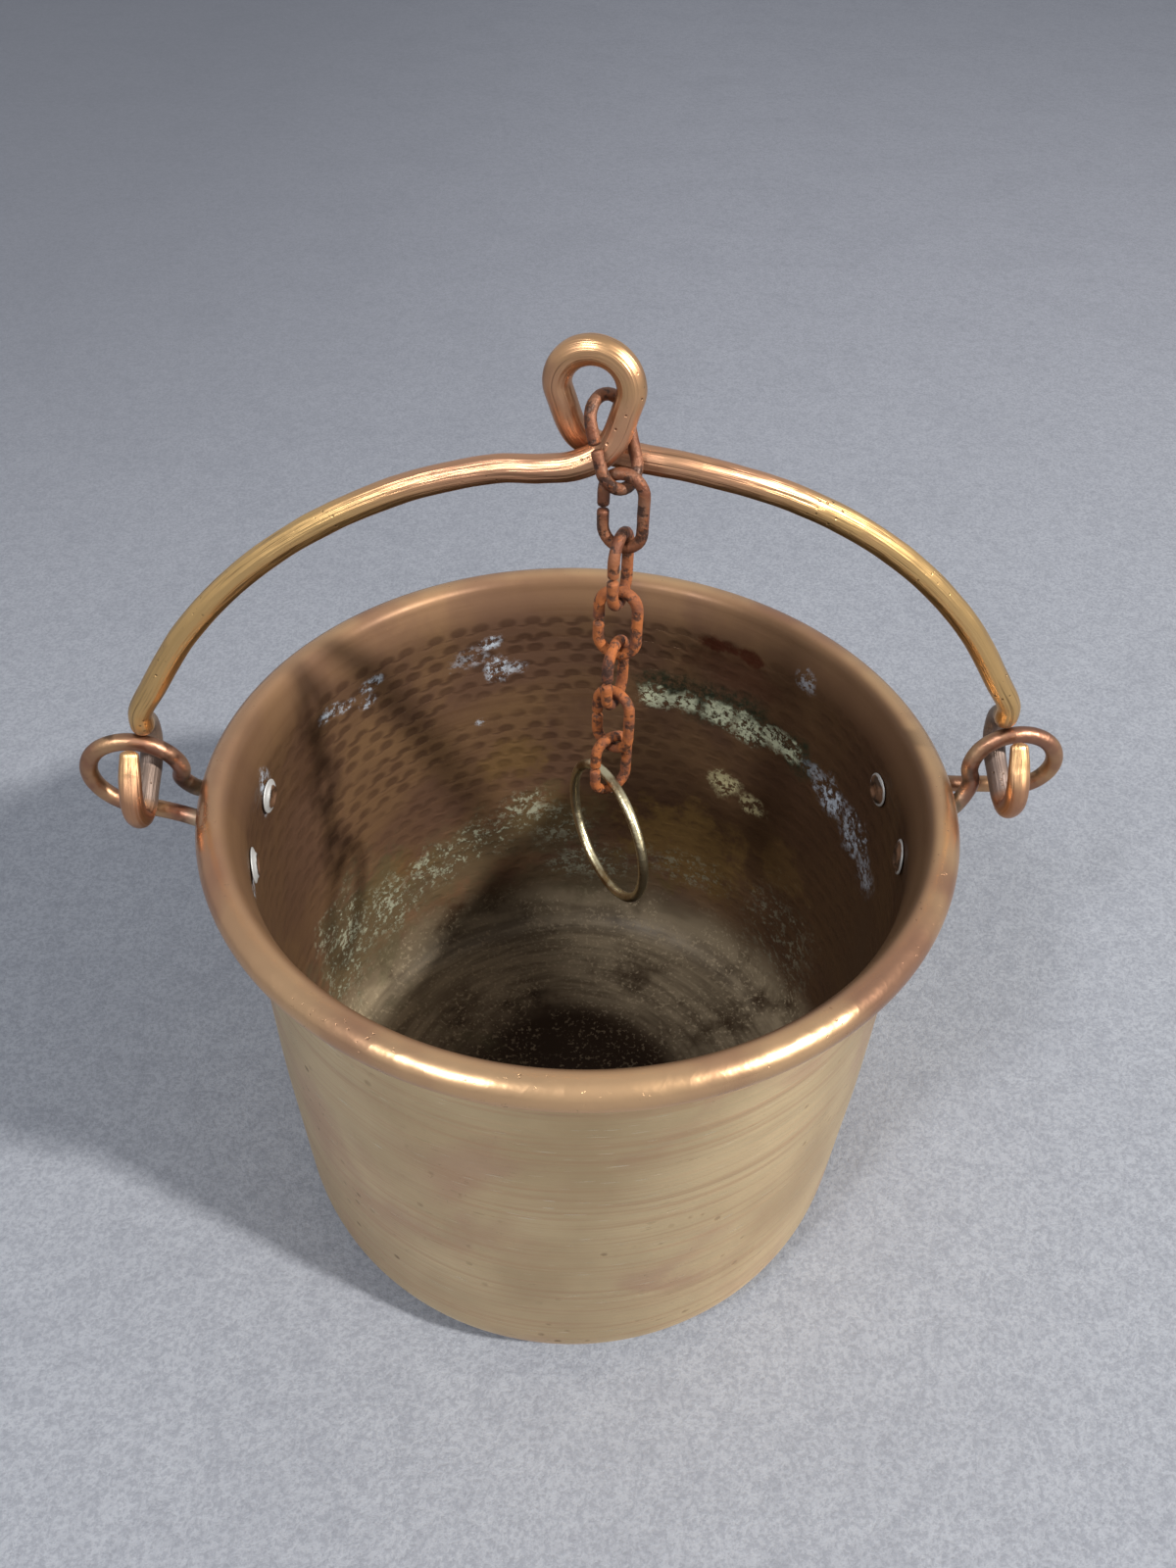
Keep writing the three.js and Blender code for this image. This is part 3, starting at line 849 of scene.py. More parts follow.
@dataclass
class Vessel:
    """The hammered pot: base, wall and rolled rim as one sheet."""

    rim_radius: float = 104.92
    roll_radius: float = 4.9
    roll_start: float = 166.0
    roll_end: float = -112.0
    base_radius: float = 84.0
    corner_height: float = 22.0
    lower_radius: float = 99.2
    belly: tuple[float, float] = (100.0, 92.0)
    shoulder: tuple[float, float] = (99.1, 148.0)
    neck: tuple[float, float] = (98.1, 10.0)
    wall_swell: float = 0.25
    flare: float = 0.9
    flare_drop: float = 4.5
    rim_wear: tuple[int, int] = (4, 12)
    sides: int = 280
    unevenness: float = 0.16

    def centre_line(self) -> tuple[np.ndarray, np.ndarray]:
        """The sheet's middle from the axis of the base to the end of the roll.

        Returns:
            Points of radius and height, and how far each has passed into the rim.
        """
        half = SHEET / 2
        bend, rise = self.lower_radius - self.base_radius, self.corner_height - half
        corner = [
            (self.base_radius + bend * math.sin(a), self.corner_height - rise * math.cos(a))
            for a in np.linspace(0, math.pi / 2, 9)
        ]
        lower = (self.lower_radius + self.belly[0]) / 2 + self.wall_swell
        middle = (lower, (self.corner_height + self.belly[1]) / 2)
        neck = (self.neck[0], RIM_HEIGHT - self.neck[1])
        flare = (self.neck[0] + self.flare, RIM_HEIGHT - self.flare_drop)
        line = self.roll_radius - half
        roll = [
            (self.rim_radius + line * math.cos(a), RIM_HEIGHT + line * math.sin(a))
            for a in np.radians(np.linspace(self.roll_start, self.roll_end, 14))
        ]
        base = [(r, half) for r in np.linspace(0, self.base_radius, 22)[:-1]]
        wall = spline([corner[-1], middle, self.belly, self.shoulder, neck, flare, roll[0]], 14)
        fine_roll = spline(roll, 3)
        points = np.vstack([base, spline(corner, 3)[:-1], wall[:-1], fine_roll])
        low, high = (len(points) - len(fine_roll) + step for step in self.rim_wear)
        return points, smooth_step(np.arange(len(points)), low, high)

    def build(self) -> Item:
        """Builds the sheet's two sides, joined at the roll's cut edge.

        Returns:
            The vessel.
        """
        line, rim = self.centre_line()
        along = np.gradient(line, axis=0)
        along /= np.linalg.norm(along, axis=1)[:, None]
        across = np.stack([along[:, 1], -along[:, 0]], 1) * SHEET / 2
        across[0] = (0, -SHEET / 2)
        rows = np.vstack([line + across, (line - across)[::-1]]) * MM
        within = np.repeat([0.0, 1.0], len(line))
        values = {"inner": within, "rim": np.concatenate([rim, rim[::-1]])}
        grid = Grid("vessel_skin", rows, self.sides, values)
        heights = rows[1:-1, 1]
        calm = smooth_step(RIM_HEIGHT * MM - heights, 0.026, 0.05) * smooth_step(heights, 0.004, 0.03)

        def uneven(angle: np.ndarray, row: np.ndarray) -> np.ndarray:
            """Gentle swells of a hand-raised wall.

            Args:
                angle: Angles round the pot.
                row: The row number of each.

            Returns:
                Their height in metres.
            """
            z = heights[row]
            swell = np.sin(5 * angle + 40 * z) + 0.7 * np.sin(11 * angle - 75 * z + 1.3)
            swell += 0.5 * np.sin(19 * angle + 130 * z + 0.4)
            return swell / 2.2 * self.unevenness * MM * calm[row]

        return grid.build(uneven)

    def dress(self, made: Item) -> None:
        """Gives the vessel its finish and its place in the frame.

        Args:
            made: The vessel.
        """
        finish = HammeredBrass()
        made.data.materials.append(finish.make(False))
        made.data.materials.append(finish.make(True))
        within = np.zeros(len(made.data.vertices), dtype=np.float32)
        made.data.attributes["inner"].data.foreach_get("value", within)
        firsts = [int(within[face.vertices[0]] > 0.5) for face in made.data.polygons]
        made.data.polygons.foreach_set("material_index", firsts)
        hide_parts("vessel")
        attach(made, "pot")


class Shaping(Tree):
    """A geometry nodes group with named inputs, which gives its result a finish."""

    def __init__(self, name: str, inputs: dict[str, str]) -> None:
        """Builds the group's inputs and output.

        Args:
            name: The group's name.
            inputs: The kind of socket for each input's name, with the geometry first.
        """
        super().__init__(bpy.data.node_groups.new(name, "GeometryNodeTree"))
        face = self.nodes.interface
        for label, kind in {**inputs, "Finish": "Material"}.items():
            face.new_socket(label, in_out="INPUT", socket_type="NodeSocket" + kind)
        face.new_socket("Shape", in_out="OUTPUT", socket_type="NodeSocketGeometry")
        outputs = self.nodes.nodes.new("NodeGroupInput").outputs
        self.entry = {item.name: Socket(self, item) for item in outputs if item.name}

    def end(self, shape: Socket) -> None:
        """Makes the shape real and gives it its finish.

        Args:
            shape: The group's geometry.
        """
        real = self.node("GeometryNodeRealizeInstances", values={"Geometry": shape})
        values = {"Geometry": real, "Material": self.entry["Finish"]}
        ended = self.node("GeometryNodeSetMaterial", values=values)
        self.feed(self.nodes.nodes.new("NodeGroupOutput").inputs[0], ended)

    def apply(self, source: Item, name: str, values: dict[str, Any]) -> Item:
        """Shapes an object.

        Args:
            source: The object, which is removed.
            name: The name of the result.
            values: The group's inputs after the geometry, by name.

        Returns:
            The result as a plain mesh.
        """
        modifier = source.modifiers.new("shape", "NODES")
        modifier.node_group = self.nodes
        for item in self.nodes.interface.items_tree:
            if item.name in values:
                modifier[item.identifier] = values[item.name]
        return settled(source, name)


class WireTree(Shaping):
    """Geometry nodes that sweep a round section along a curve and dent it a little."""

    # A dent's share of the noise that pushes inward: almost all of it, so that wires stay apart.
    INWARD = 0.7

    def __init__(self) -> None:
        """Builds the group."""
        numbers = {"Dent depth": "Float", "Dents per metre": "Float", "Seed": "Float"}
        super().__init__("bent_wire", {"Path": "Geometry", "Sides": "Int", **numbers})
        entry = self.entry
        length = self.node("GeometryNodeSplineParameter", output="Length")
        path = self.stored(entry["Path"], "along", "FLOAT", length)
        circle = self.node("GeometryNodeCurvePrimitiveCircle", values={"Resolution": entry["Sides"], "Radius": 1.0})
        position = self.node("GeometryNodeInputPosition")
        circle = self.stored(circle, "section", "FLOAT_VECTOR", position)
        radius = self.node("GeometryNodeInputRadius")
        values = {"Curve": path, "Profile Curve": circle, "Scale": radius, "Fill Caps": True}
        tube = self.node("GeometryNodeCurveToMesh", values=values)
        values = {"Vector": position, "W": entry["Seed"], "Scale": entry["Dents per metre"], "Detail": 2.0}
        dent = self.node("ShaderNodeTexNoise", {"noise_dimensions": "4D"}, values)
        push = (dent - self.INWARD) * 2.0 * entry["Dent depth"]
        values = {"Vector": self.node("GeometryNodeInputNormal"), "Scale": push}
        offset = self.node("ShaderNodeVectorMath", {"operation": "SCALE"}, values)
        self.end(self.node("GeometryNodeSetPosition", values={"Geometry": tube, "Offset": offset}))

    def stored(self, shape: Socket, name: str, kind: str, value: Socket) -> Socket:
        """The shape with a value stored on its points."""
        values = {"Geometry": shape, "Name": name, "Value": value}
        return self.node("GeometryNodeStoreNamedAttribute", {"data_type": kind, "domain": "POINT"}, values)


@dataclass
class Wire:
    """A wire bent along points given in millimetres."""

    name: str
    points: np.ndarray
    radii: np.ndarray
    sides: int = 16
    dent: float = 0.12
    dents_per_metre: float = 180.0
    seed: float = 1.0
    closed: bool = False
    nose: float = 0.55
    nose_turn: float = 1.35

    def rounded(self) -> tuple[np.ndarray, np.ndarray]:
        """The points and radii with a round nose at each open end.

        Returns:
            The points and the radii.
        """
        if self.closed:
            return self.points, self.radii
        points, radii = self.points, self.radii
        for _ in range(2):
            points, radii = points[::-1], radii[::-1]
            steps = np.linalg.norm(np.diff(points, axis=0), axis=1)
            to_end = np.concatenate([np.cumsum(steps[::-1])[::-1], [0.0]])
            nose = radii[-1] * self.nose
            away = (points[-1] - points[-2]) / steps[-1]
            keep = to_end > nose * 1.05
            end = points[-1] - away * nose
            turns = np.linspace(0, self.nose_turn, 6)
            radii = np.concatenate([radii[keep], radii[-1] * np.cos(turns)])
            points = np.vstack([points[keep], end + np.outer(nose * np.sin(turns), away)])
        return points, radii

    def build(self, tree: WireTree, finish: Finish) -> Item:
        """Sweeps the wire.

        Args:
            tree: The geometry nodes that sweep it.
            finish: Its material.

        Returns:
            The wire as a plain mesh at the origin.
        """
        points, radii = self.rounded()
        curve = bpy.data.curves.new(self.name + "_path", "CURVE")
        curve.dimensions = "3D"
        line = curve.splines.new("POLY")
        line.points.add(len(points) - 1)
        for point, place, radius in zip(line.points, points, radii):
            point.co = (*(place * MM), 1.0)
            point.radius = radius * MM
        line.use_cyclic_u = self.closed
        values = {
            "Sides": self.sides,
            "Dent depth": self.dent * MM,
            "Dents per metre": self.dents_per_metre,
            "Seed": self.seed,
            "Finish": finish,
        }
        return tree.apply(new_object(self.name + "_path", curve), self.name, values)


@dataclass
class Bail:
    """The rod with a hook at each end and a loop twisted at its top."""

    radius: float = 3.5
    hook_radius: float = 3.25
    arc_radius: float = 133.7
    arc_centre: float = -30.5
    crossing: float = 3.85
    loop_x: float = 1.0
    loop_rise: float = 121.47
    loop_radius: float = 8.3
    hook_x: float = 123.9
    hook_length: float = 66.0
    arm: tuple[float, float] = (38.0, 116.0)
    loop_start: float = -28.0
    loop_turn: float = 236.0
    tip_radius: float = 2.7
    tip_length: float = 9.0
    tip_flat: float = 17.0
    tip_squeeze: float = 0.34
    neck_length: float = 14.0

    def arc_rise(self, x: float) -> float:
        """Height of the arc over the rim's middle."""
        return self.arc_centre + math.sqrt(self.arc_radius**2 - x * x)

    def hook(self) -> list[Point]:
        """The right hook from the arc's end to its tip.

        Returns:
            Points in millimetres.
        """
        turns = (
            (-2.5, 0, 27.4), (-1.7, 0.9, 22.3), (-0.7, 4.8, 20.6), (-0.2, 8.1, 16.6), (0, 7.7, 10.8),
            (0.2, 3.6, 5.8), (0.5, -2.4, 2.2), (0.8, -7.6, -0.8), (1, -12.2, -1), (1.2, -14.6, 3),
            (1.2, -13.8, 8.2), (1.2, -10.4, 13.6), (1, -6.2, 19),
        )  # fmt: skip
        return [(self.hook_x + out, y, RIM_HEIGHT + rise) for out, y, rise in turns]

    def loop(self) -> list[Point]:
        """The top: the left arm rises in front into the loop, and the right arm leaves behind it.

        Returns:
            Points in millimetres, from left to right.
        """
        front = ((-22, 0.6), (-12, 2.5), (-4, self.crossing), (3.4, self.crossing))
        rises = (self.arc_rise(22), 102.4, 104, 108.2)
        half = [(self.loop_x + x, -back, RIM_HEIGHT + rise) for (x, back), rise in zip(front, rises)]
        over = []
        for share in np.linspace(0, 1, 9):
            angle = math.radians(self.loop_start + self.loop_turn * share)
            across, up = self.loop_radius * math.cos(angle), self.loop_radius * math.sin(angle)
            back = -self.crossing * 0.8 * math.cos(math.pi * share)
            over.append((self.loop_x + across, back, RIM_HEIGHT + self.loop_rise + up))
        mirrored = [(2 * self.loop_x - x, -y, z) for x, y, z in reversed(half)]
        return half + over + mirrored

    def route(self) -> list[Point]:
        """The whole rod from the left tip to the right tip.

        Returns:
            Points in millimetres.
        """
        hook = self.hook()
        arm = [(x, 0.0, RIM_HEIGHT + self.arc_rise(x)) for x in np.linspace(*self.arm, 8)]
        left = [(-x, y, z) for x, y, z in reversed(arm + hook)]
        return left + self.loop() + arm + hook

    def build(self, tree: WireTree) -> Item:
        """Sweeps the rod with its tapered tips.

        Args:
            tree: The geometry nodes that sweep it.

        Returns:
            The bail.
        """
        points = spline(self.route(), 12)
        gone = np.concatenate([[0.0], np.cumsum(np.linalg.norm(np.diff(points, axis=0), axis=1))])
        to_end = np.minimum(gone, gone[-1] - gone)
        hook = self.tip_radius + (self.hook_radius - self.tip_radius) * smooth_step(to_end, 0, self.tip_length)
        share = smooth_step(to_end, self.hook_length, self.hook_length + self.neck_length)
        radii = hook + (self.radius - hook) * share
        wire = Wire("bail_rod", points, radii, sides=28, dent=0.2, dents_per_metre=90, seed=3.0)
        made = wire.build(tree, WornRod().make())
        self.flatten_tips(made.data, points, gone)
        return made

    def flatten_tips(self, mesh: bpy.types.Mesh, points: np.ndarray, gone: np.ndarray) -> None:
        """Hammers the two tips flat, thin across the hook's bend and full in width.

        Args:
            mesh: The swept rod.
            points: The rod's centre line in millimetres.
            gone: Distance of each point from the left tip.
        """
        along = np.zeros(len(mesh.vertices), dtype=np.float32)
        mesh.attributes["along"].data.foreach_get("value", along)
        places = np.zeros(len(mesh.vertices) * 3)
        mesh.vertices.foreach_get("co", places)
        places = places.reshape(-1, 3) / MM
        distance = np.clip(along / MM, 0, gone[-1])
        centre, ahead, behind = (
            np.stack([np.interp(distance + step, gone, points[:, k]) for k in range(3)], 1) for step in (0, 0.5, -0.5)
        )
        across = np.cross(ahead - behind, (1.0, 0.0, 0.0))
        across /= np.linalg.norm(across, axis=1)[:, None]
        to_end = np.minimum(distance, gone[-1] - distance)
        share = 1 - smooth_step(to_end, self.tip_flat * 0.4, self.tip_flat)
        thickness = ((places - centre) * across).sum(1)
        places -= across * (thickness * share * self.tip_squeeze)[:, None]
        mesh.vertices.foreach_set("co", (places * MM).ravel())
        mesh.attributes.new("to_end", "FLOAT", "POINT").data.foreach_set("value", (to_end * MM).astype(np.float32))
        mesh.update()

    def dress(self, made: Item) -> None:
        """Puts the rod in the frame.

        Args:
            made: The bail.
        """
        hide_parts("bail")
        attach(made, "bail")


@dataclass
class Ear:
    """A wire eye beside the rim, with two flattened legs riveted under the roll."""

    wire_radius: float = 2.55
    reach: float = 128.0
    rise: float = 5.3
    half_width: float = 12.8
    half_height: float = 11.3
    crossing: float = 2.9
    eye_start: float = -100.0
    eye_turn: float = 305.0
    rim_radius: float = 105.0
    voxel: float = 0.38

    def polar(self, radius: float, share: float, rise: float) -> Point:
        """A point by its distance from the axis, its share of the rivet's angle and its rise."""
        angle = math.radians(RIVET_ANGLE * share)
        return radius * math.cos(angle), radius * math.sin(angle), RIM_HEIGHT + rise

    def route(self) -> list[Point]:
        """The wire from the rear pad round the eye to the front pad.

        Returns:
            Points in millimetres, for the right ear.
        """
        foot = WALL_RADIUS + PAD_GAP + self.wire_radius
        rear = [
            self.polar(foot, 0.93, 1.5 - RIVET_DROP),
            self.polar(foot + 0.4, 0.72, 7 - RIVET_DROP),
            self.polar(self.rim_radius + 1.5, 0.5, -9),
            (self.rim_radius + 9, 5.2, RIM_HEIGHT - 7.6),
        ]
        eye = []
        for share in np.linspace(0, 1, 15):
            angle = math.radians(self.eye_start + self.eye_turn * share)
            out, up = self.half_width * math.cos(angle), self.half_height * math.sin(angle)
            eye.append((self.reach + out, self.crossing * (1 - 2 * share) ** 3, RIM_HEIGHT + self.rise + up))
        front = [
            (self.rim_radius + 8.2, -5, RIM_HEIGHT - 6),
            self.polar(self.rim_radius + 2.4, -0.5, -9.6),
            self.polar(foot + 0.4, -0.76, 6 - RIVET_DROP),
            self.polar(foot, -0.95, 1.5 - RIVET_DROP),
        ]
        return rear + eye + front

    def pad(self, sign: int) -> Item:
        """One flattened end, a round plate against the wall.

        Args:
            sign: 1 for the rear pad and -1 for the front one, on the right ear.

        Returns:
            The plate.
        """
        profile = [(0, 0), (4.4, 0), (5.0, 0.25), (5.2, 0.9), (5.1, 1.7), (4.5, 2.4), (3.6, 2.6), (0, PAD_THICKNESS)]
        made = Grid("pad", np.array(profile) * MM, 40).build()
        lift = Matrix.Translation((0, 0, (RIM_HEIGHT - RIVET_DROP) * MM))
        turn = Matrix.Rotation(math.radians(RIVET_ANGLE * sign), 4, "Z")
        out = Matrix.Translation(((WALL_RADIUS + PAD_GAP) * MM, 0, 0))
        made.data.transform(lift @ turn @ out @ Matrix.Rotation(math.radians(90), 4, "Y"))
        return made

    def build(self, name: str, tree: WireTree, finish: Finish, side: Side) -> Item:
        """Sweeps the wire and melts its pads into it.

        Args:
            name: The piece's name.
            tree: The geometry nodes that sweep the wire.
            finish: Its material.
            side: The side of the pot that it is on.

        Returns:
            The ear.
        """
        points = spline(self.route(), 7)
        wire = Wire(name + "_wire", points, np.full(len(points), self.wire_radius), sides=20, dent=0.1, seed=5.0)
        pieces = [wire.build(tree, finish), self.pad(1), self.pad(-1)]
        with bpy.context.temp_override(active_object=pieces[0], selected_editable_objects=pieces):
            bpy.ops.object.join()
        made = pieces[0]
        remesh = made.modifiers.new("melt", "REMESH")
        remesh.mode = "VOXEL"
        remesh.voxel_size = self.voxel * MM
        smooth = made.modifiers.new("soften", "SMOOTH")
        smooth.factor = 0.5
        smooth.iterations = 6
        made = settled(made, name)
        made.data.transform(Matrix.Rotation(math.radians(side.value), 4, "Z"))
        made.data.materials.clear()
        made.data.materials.append(finish)
        return made

    def dress(self, made: Item, node: str) -> None:
        """Puts an ear in the frame.

        Args:
            made: The ear.
            node: The solid that it replaces.
        """
        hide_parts(node)
        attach(made, "pot")


@dataclass
class Rivets:
    """The four rivets: tinned seats inside, shanks, and domed heads on the ears' pads."""

    shank: float = 1.95
    head: float = 4.0
    head_height: float = 1.9
    seat: float = 5.4
    seat_height: float = 0.5
    gap: float = 0.3
    sides: int = 48

    def one(self) -> Item:
        """One rivet along +Z, with its length measured from the kettle's axis.

        Returns:
            The rivet, for the group to repeat.
        """
        inside = WALL_RADIUS - SHEET
        sag = inside - math.sqrt(inside**2 - self.seat**2)
        seat = inside - PAD_GAP - sag
        outer = WALL_RADIUS + PAD_GAP + PAD_THICKNESS + self.gap
        top = seat - self.seat_height
        profile = [
            (0, top - 0.15), (1.0, top - 0.2), (1.9, top - 0.35), (2.3, top - 0.75), (2.7, top - 0.95),
            (3.2, top - 0.9), (3.7, top - 0.55), (4.2, top - 0.15), (4.8, top), (5.2, top + 0.15),
            (self.seat, top + 0.3), (self.seat, seat), (self.shank, seat), (self.shank, outer),
            (self.head, outer), (self.head * 0.99, outer + 0.35), (self.head * 0.86, outer + 1.1),
            (self.head * 0.6, outer + 1.6), (self.head * 0.3, outer + 1.83), (0, outer + self.head_height),
        ]  # fmt: skip
        rows = np.array(profile) * MM
        share = np.array([r / self.seat if z < outer else 1.0 for r, z in profile])
        return Grid("rivet", rows, self.sides, {"share": share}).build()

    def group(self) -> Shaping:
        """Geometry nodes that set a rivet on every point, turned to its direction.

        Returns:
            The group.
        """
        t = Shaping("rivet_row", {"Places": "Geometry", "Rivet": "Object"})
        shape = t.node("GeometryNodeObjectInfo", values={"Object": t.entry["Rivet"]}, output="Geometry")
        settings = {"data_type": "FLOAT_VECTOR"}
        outward = t.node("GeometryNodeInputNamedAttribute", settings, {"Name": "outward"})
        turn = t.node("FunctionNodeAlignRotationToVector", {"axis": "Z"}, {"Vector": outward})
        values = {"Points": t.entry["Places"], "Instance": shape, "Rotation": turn}
        t.end(t.node("GeometryNodeInstanceOnPoints", values=values))
        return t

    def build(self) -> Item:
        """Sets the four rivets, as one mesh.

        Returns:
            The rivets.
        """
        rivet = self.one()
        angles = [math.radians(side.value + turn) for side in Side for turn in (RIVET_ANGLE, -RIVET_ANGLE)]
        mesh = bpy.data.meshes.new("rivet_places")
        mesh.from_pydata([(0, 0, (RIM_HEIGHT - RIVET_DROP) * MM)] * len(angles), [], [])
        outward = mesh.attributes.new("outward", "FLOAT_VECTOR", "POINT")
        outward.data.foreach_set("vector", [v for a in angles for v in (math.cos(a), math.sin(a), 0.0)])
        values = {"Rivet": rivet, "Finish": TinnedRivet().make()}
        made = self.group().apply(new_object("rivet_places", mesh), "ear_rivets", values)
        bpy.data.objects.remove(rivet)
        return made

    def dress(self, made: Item) -> None:
        """Puts the rivets in the frame.

        Args:
            made: The rivets.
        """
        names = [f"{side.name.lower()}_ear_rivet_{place}" for side in Side for place in ("front", "rear")]
        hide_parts(*names)
        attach(made, "pot")


@dataclass
class Chain:
    """Seven iron links, the top one leaning across the bail's crossing, and the ring below them."""

    wire: float = 1.55
    length: float = 22.5
    width: float = 13.2
    top_length: float = 24.5
    top_width: float = 15.0
    butt_gap: float = 0.5
    top_centre: Point = (5.71, -4.03, 109.93)
    top_turn: Point = (-35.8, -17.5, 39.5)
    slant_gap: float = 0.35
    turns: tuple[float, ...] = (-24, 66, -20, 62, -36, 28)
    gap: float = 0.3
    ring_wire: float = 1.5
    ring_radius: float = 21.0
    ring_turn: float = 116.0

    def stadium(self, length: float, width: float) -> np.ndarray:
        """Centre line of a link, from one side of its butt gap to the other.

        Args:
            length: The link's outer length.
            width: Its outer width.

        Returns:
            Points in millimetres, in the XZ plane.
        """
        bend = width / 2 - self.wire
        straight = length / 2 - self.wire - bend
        points = [(-bend, 0, z) for z in np.linspace(self.butt_gap / 2, straight, 6)[:-1]]
        for end in (1, -1):
            for angle in np.linspace(0, math.pi, 15):
                points.append((-end * bend * math.cos(angle), 0, end * (straight + bend * math.sin(angle))))
            if end == 1:
                points += [(bend, 0, z) for z in np.linspace(straight, -straight, 8)[1:-1]]
        points += [(-bend, 0, z) for z in np.linspace(-straight, -self.butt_gap / 2, 6)[1:]]
        return np.array(points)

    def places(self) -> tuple[list[tuple[np.ndarray, Matrix]], Vector]:
        """Centre line and place of each link, from the top down.

        Returns:
            Pairs of a centre line and its matrix, in millimetres, and the point that carries the ring.
        """
        x, y, z = (math.radians(a) for a in self.top_turn)
        turn = Matrix.Rotation(x, 4, "X") @ Matrix.Rotation(z, 4, "Z") @ Matrix.Rotation(y, 4, "Y")
        centre = Vector(self.top_centre) + Vector((0, 0, RIM_HEIGHT))
        result = [(self.stadium(self.top_length, self.top_width), Matrix.Translation(centre) @ turn)]
        support = centre + turn @ Vector((0, 0, self.wire - self.top_length / 2))
        support.z += self.slant_gap
        drop = self.length - 2 * self.wire
        rise = 2 * self.wire + self.gap
        for angle in self.turns:
            place = Matrix.Translation(support + Vector((0, 0, rise - drop / 2)))
            turn = Matrix.Rotation(math.radians(angle), 4, "Z")
            result.append((self.stadium(self.length, self.width), place @ turn))
            support.z += rise - drop
        return result, support

    def build(self, tree: WireTree) -> list[Item]:
        """Sweeps the links and the ring.

        Args:
            tree: The geometry nodes that sweep them.

        Returns:
            The links from the top down, then the ring.
        """
        rust = RustyIron().make()
        made = []
        links, support = self.places()
        for number, (line, place) in enumerate(links, start=1):
            points = np.array([place @ Vector(p) for p in line])
            radii = np.full(len(points), self.wire)
            name = f"iron_link_{number}"
            wire = Wire(name, points, radii, dent=0.13, dents_per_metre=260, seed=10.0 + number)
            made.append(wire.build(tree, rust))
        centre = support + Vector((0, 0, self.wire + self.ring_wire + self.gap - self.ring_radius))
        turn = Matrix.Translation(centre) @ Matrix.Rotation(math.radians(self.ring_turn), 4, "Z")
        circle = [
            turn @ Vector((self.ring_radius * math.cos(a), 0, self.ring_radius * math.sin(a)))
            for a in np.linspace(0, 2 * math.pi, 96, endpoint=False)
        ]
        radii = np.full(len(circle), self.ring_wire)
        wire = Wire("pale_ring", np.array(circle), radii, dent=0.05, seed=30.0, closed=True)
        made.append(wire.build(tree, PaleBrass().make()))
        return made

    def dress(self, made: list[Item]) -> None:
        """Puts the links and the ring in the frame.

        Args:
            made: The links from the top down, then the ring.
        """
        for number, link in enumerate(made[:-1], start=1):
            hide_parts(f"chain_link_{number}")
            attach(link, f"chain_link_{number}")
        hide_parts("hanging_ring")
        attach(made[-1], "hanging_ring")


@dataclass(frozen=True)
class Lamp:
    """A square lamp that faces the kettle, placed by its angles from the frame's axes."""

    name: str
    angle: float
    rise: float
    distance: float
    size: float
    power: float
    tint: Point
    aim_height: float = 0.1

    def hang(self) -> None:
        """Puts the lamp in the scene."""
        data = bpy.data.lights.new(self.name, "AREA")
        data.size = self.size
        data.energy = self.power
        data.color = self.tint
        made = new_object(self.name, data)
        turn, rise = math.radians(self.angle), math.radians(self.rise)
        away = Vector((math.cos(turn) * math.cos(rise), math.sin(turn) * math.cos(rise), math.sin(rise)))
        made.location = away * self.distance + Vector((0, 0, self.aim_height))
        made.rotation_euler = away.to_track_quat("Z", "Y").to_euler()


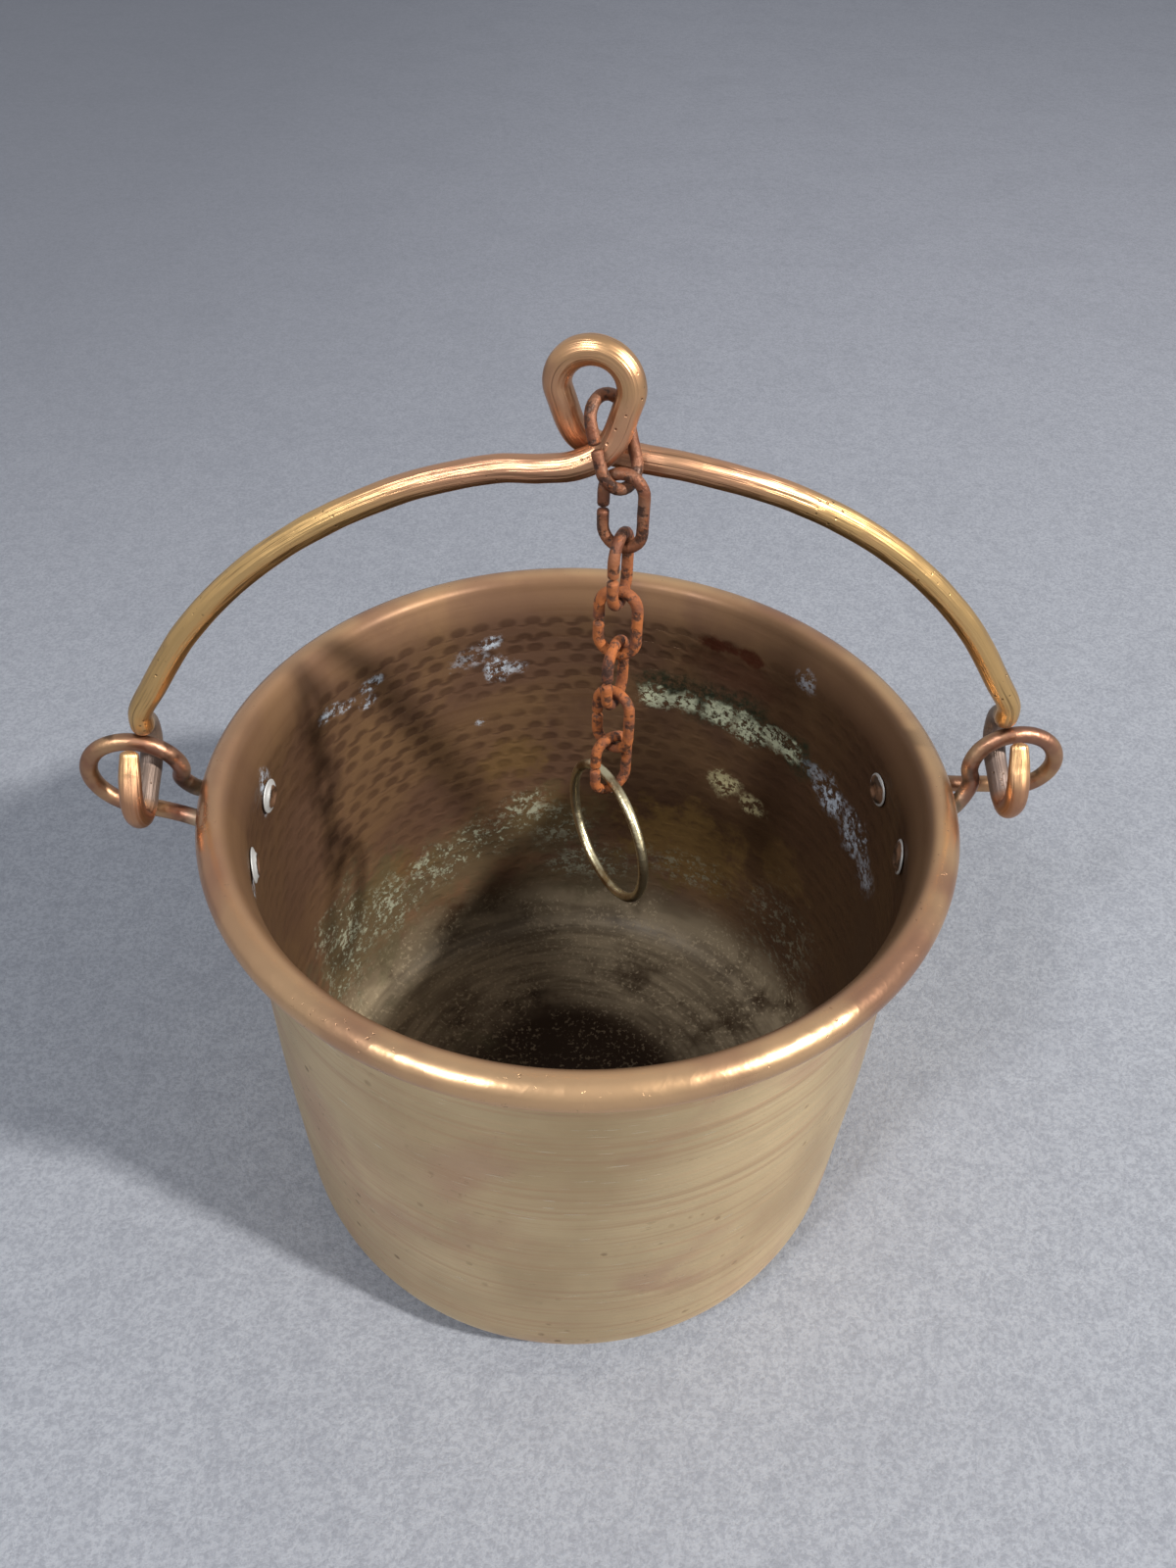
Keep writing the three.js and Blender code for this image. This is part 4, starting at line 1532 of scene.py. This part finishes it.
@dataclass
class Studio:
    """Cloth, lamps and the camera."""

    lamp_list: tuple[Lamp, ...] = (
        Lamp("key_lamp", -30.8, 42.1, 2.43, 0.13, 80.0, (1.0, 0.97, 0.92)),
        Lamp("second_lamp", -131.3, 48.6, 1.57, 0.17, 11.5, (0.97, 0.98, 1.0)),
    )
    room_light: float = 0.58
    room_tint: Shade = (0.9, 0.94, 1.0, 1.0)
    cloth_half: float = 4.0
    camera_place: Point = (-0.0132, -0.2541, 0.4117)
    forward: Point = (0.0448, 0.7275, -0.6846)
    up: Point = (0.0101, 0.6849, 0.7285)
    focal_pixels: float = 1203.0
    image_height: float = 1600.0
    sensor: float = 36.0

    def camera(self) -> None:
        """Sets the camera where the photograph was taken from."""
        data = bpy.data.cameras.new("camera")
        data.sensor_width = self.sensor
        data.lens = self.focal_pixels * self.sensor / self.image_height
        data.clip_start = 0.01
        made = new_object("camera", data)
        back = -Vector(self.forward).normalized()
        up = Vector(self.up)
        right = up.cross(back).normalized()
        up = back.cross(right)
        turn = Matrix((right, up, back)).transposed().to_4x4()
        made.matrix_world = Matrix.Translation(self.camera_place) @ turn
        bpy.context.scene.camera = made

    def lamps(self) -> None:
        """Hangs the lamps and sets the room's even light."""
        for lamp in self.lamp_list:
            lamp.hang()
        world = bpy.data.worlds.new("room")
        world.use_nodes = True
        bpy.context.scene.world = world
        shade = world.node_tree.nodes["Background"]
        shade.inputs["Color"].default_value = self.room_tint
        shade.inputs["Strength"].default_value = self.room_light

    def floor(self) -> None:
        """Lays the cloth."""
        half = self.cloth_half
        mesh = bpy.data.meshes.new("cloth")
        mesh.from_pydata([(-half, -half, 0), (half, -half, 0), (half, half, 0), (-half, half, 0)], [], [(0, 1, 2, 3)])
        made = new_object("cloth", mesh)
        mesh.materials.append(Felt().make())


def dress_core_wire() -> None:
    """Gives the hidden iron wire in the rim its rust."""
    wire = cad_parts["rim_core_wire"]
    wire.data.materials.clear()
    wire.data.materials.append(RustyIron().make("core_rust"))


def report(made: Item) -> None:
    """Logs a finished piece."""
    LOG.info("%s: %d faces", made.name, len(made.data.polygons))


def main() -> None:
    """Builds and dresses every piece, then the studio."""
    logging.basicConfig(level=logging.INFO, format="%(name)s %(message)s")
    bpy.context.scene.view_settings.view_transform = "Standard"
    tree = WireTree()
    vessel = Vessel()
    pot = vessel.build()
    vessel.dress(pot)
    report(pot)
    dress_core_wire()
    brown = BrownWire().make()
    ear = Ear()
    for side in Side:
        name = f"{side.name.lower()}_ear"
        wire = ear.build(name + "_wire", tree, brown, side)
        ear.dress(wire, name)
        report(wire)
    rivets = Rivets()
    heads = rivets.build()
    rivets.dress(heads)
    report(heads)
    bail = Bail()
    rod = bail.build(tree)
    bail.dress(rod)
    report(rod)
    chain = Chain()
    links = chain.build(tree)
    chain.dress(links)
    for link in links:
        report(link)
    studio = Studio()
    studio.floor()
    studio.lamps()
    studio.camera()


if __name__ == "__main__":
    main()
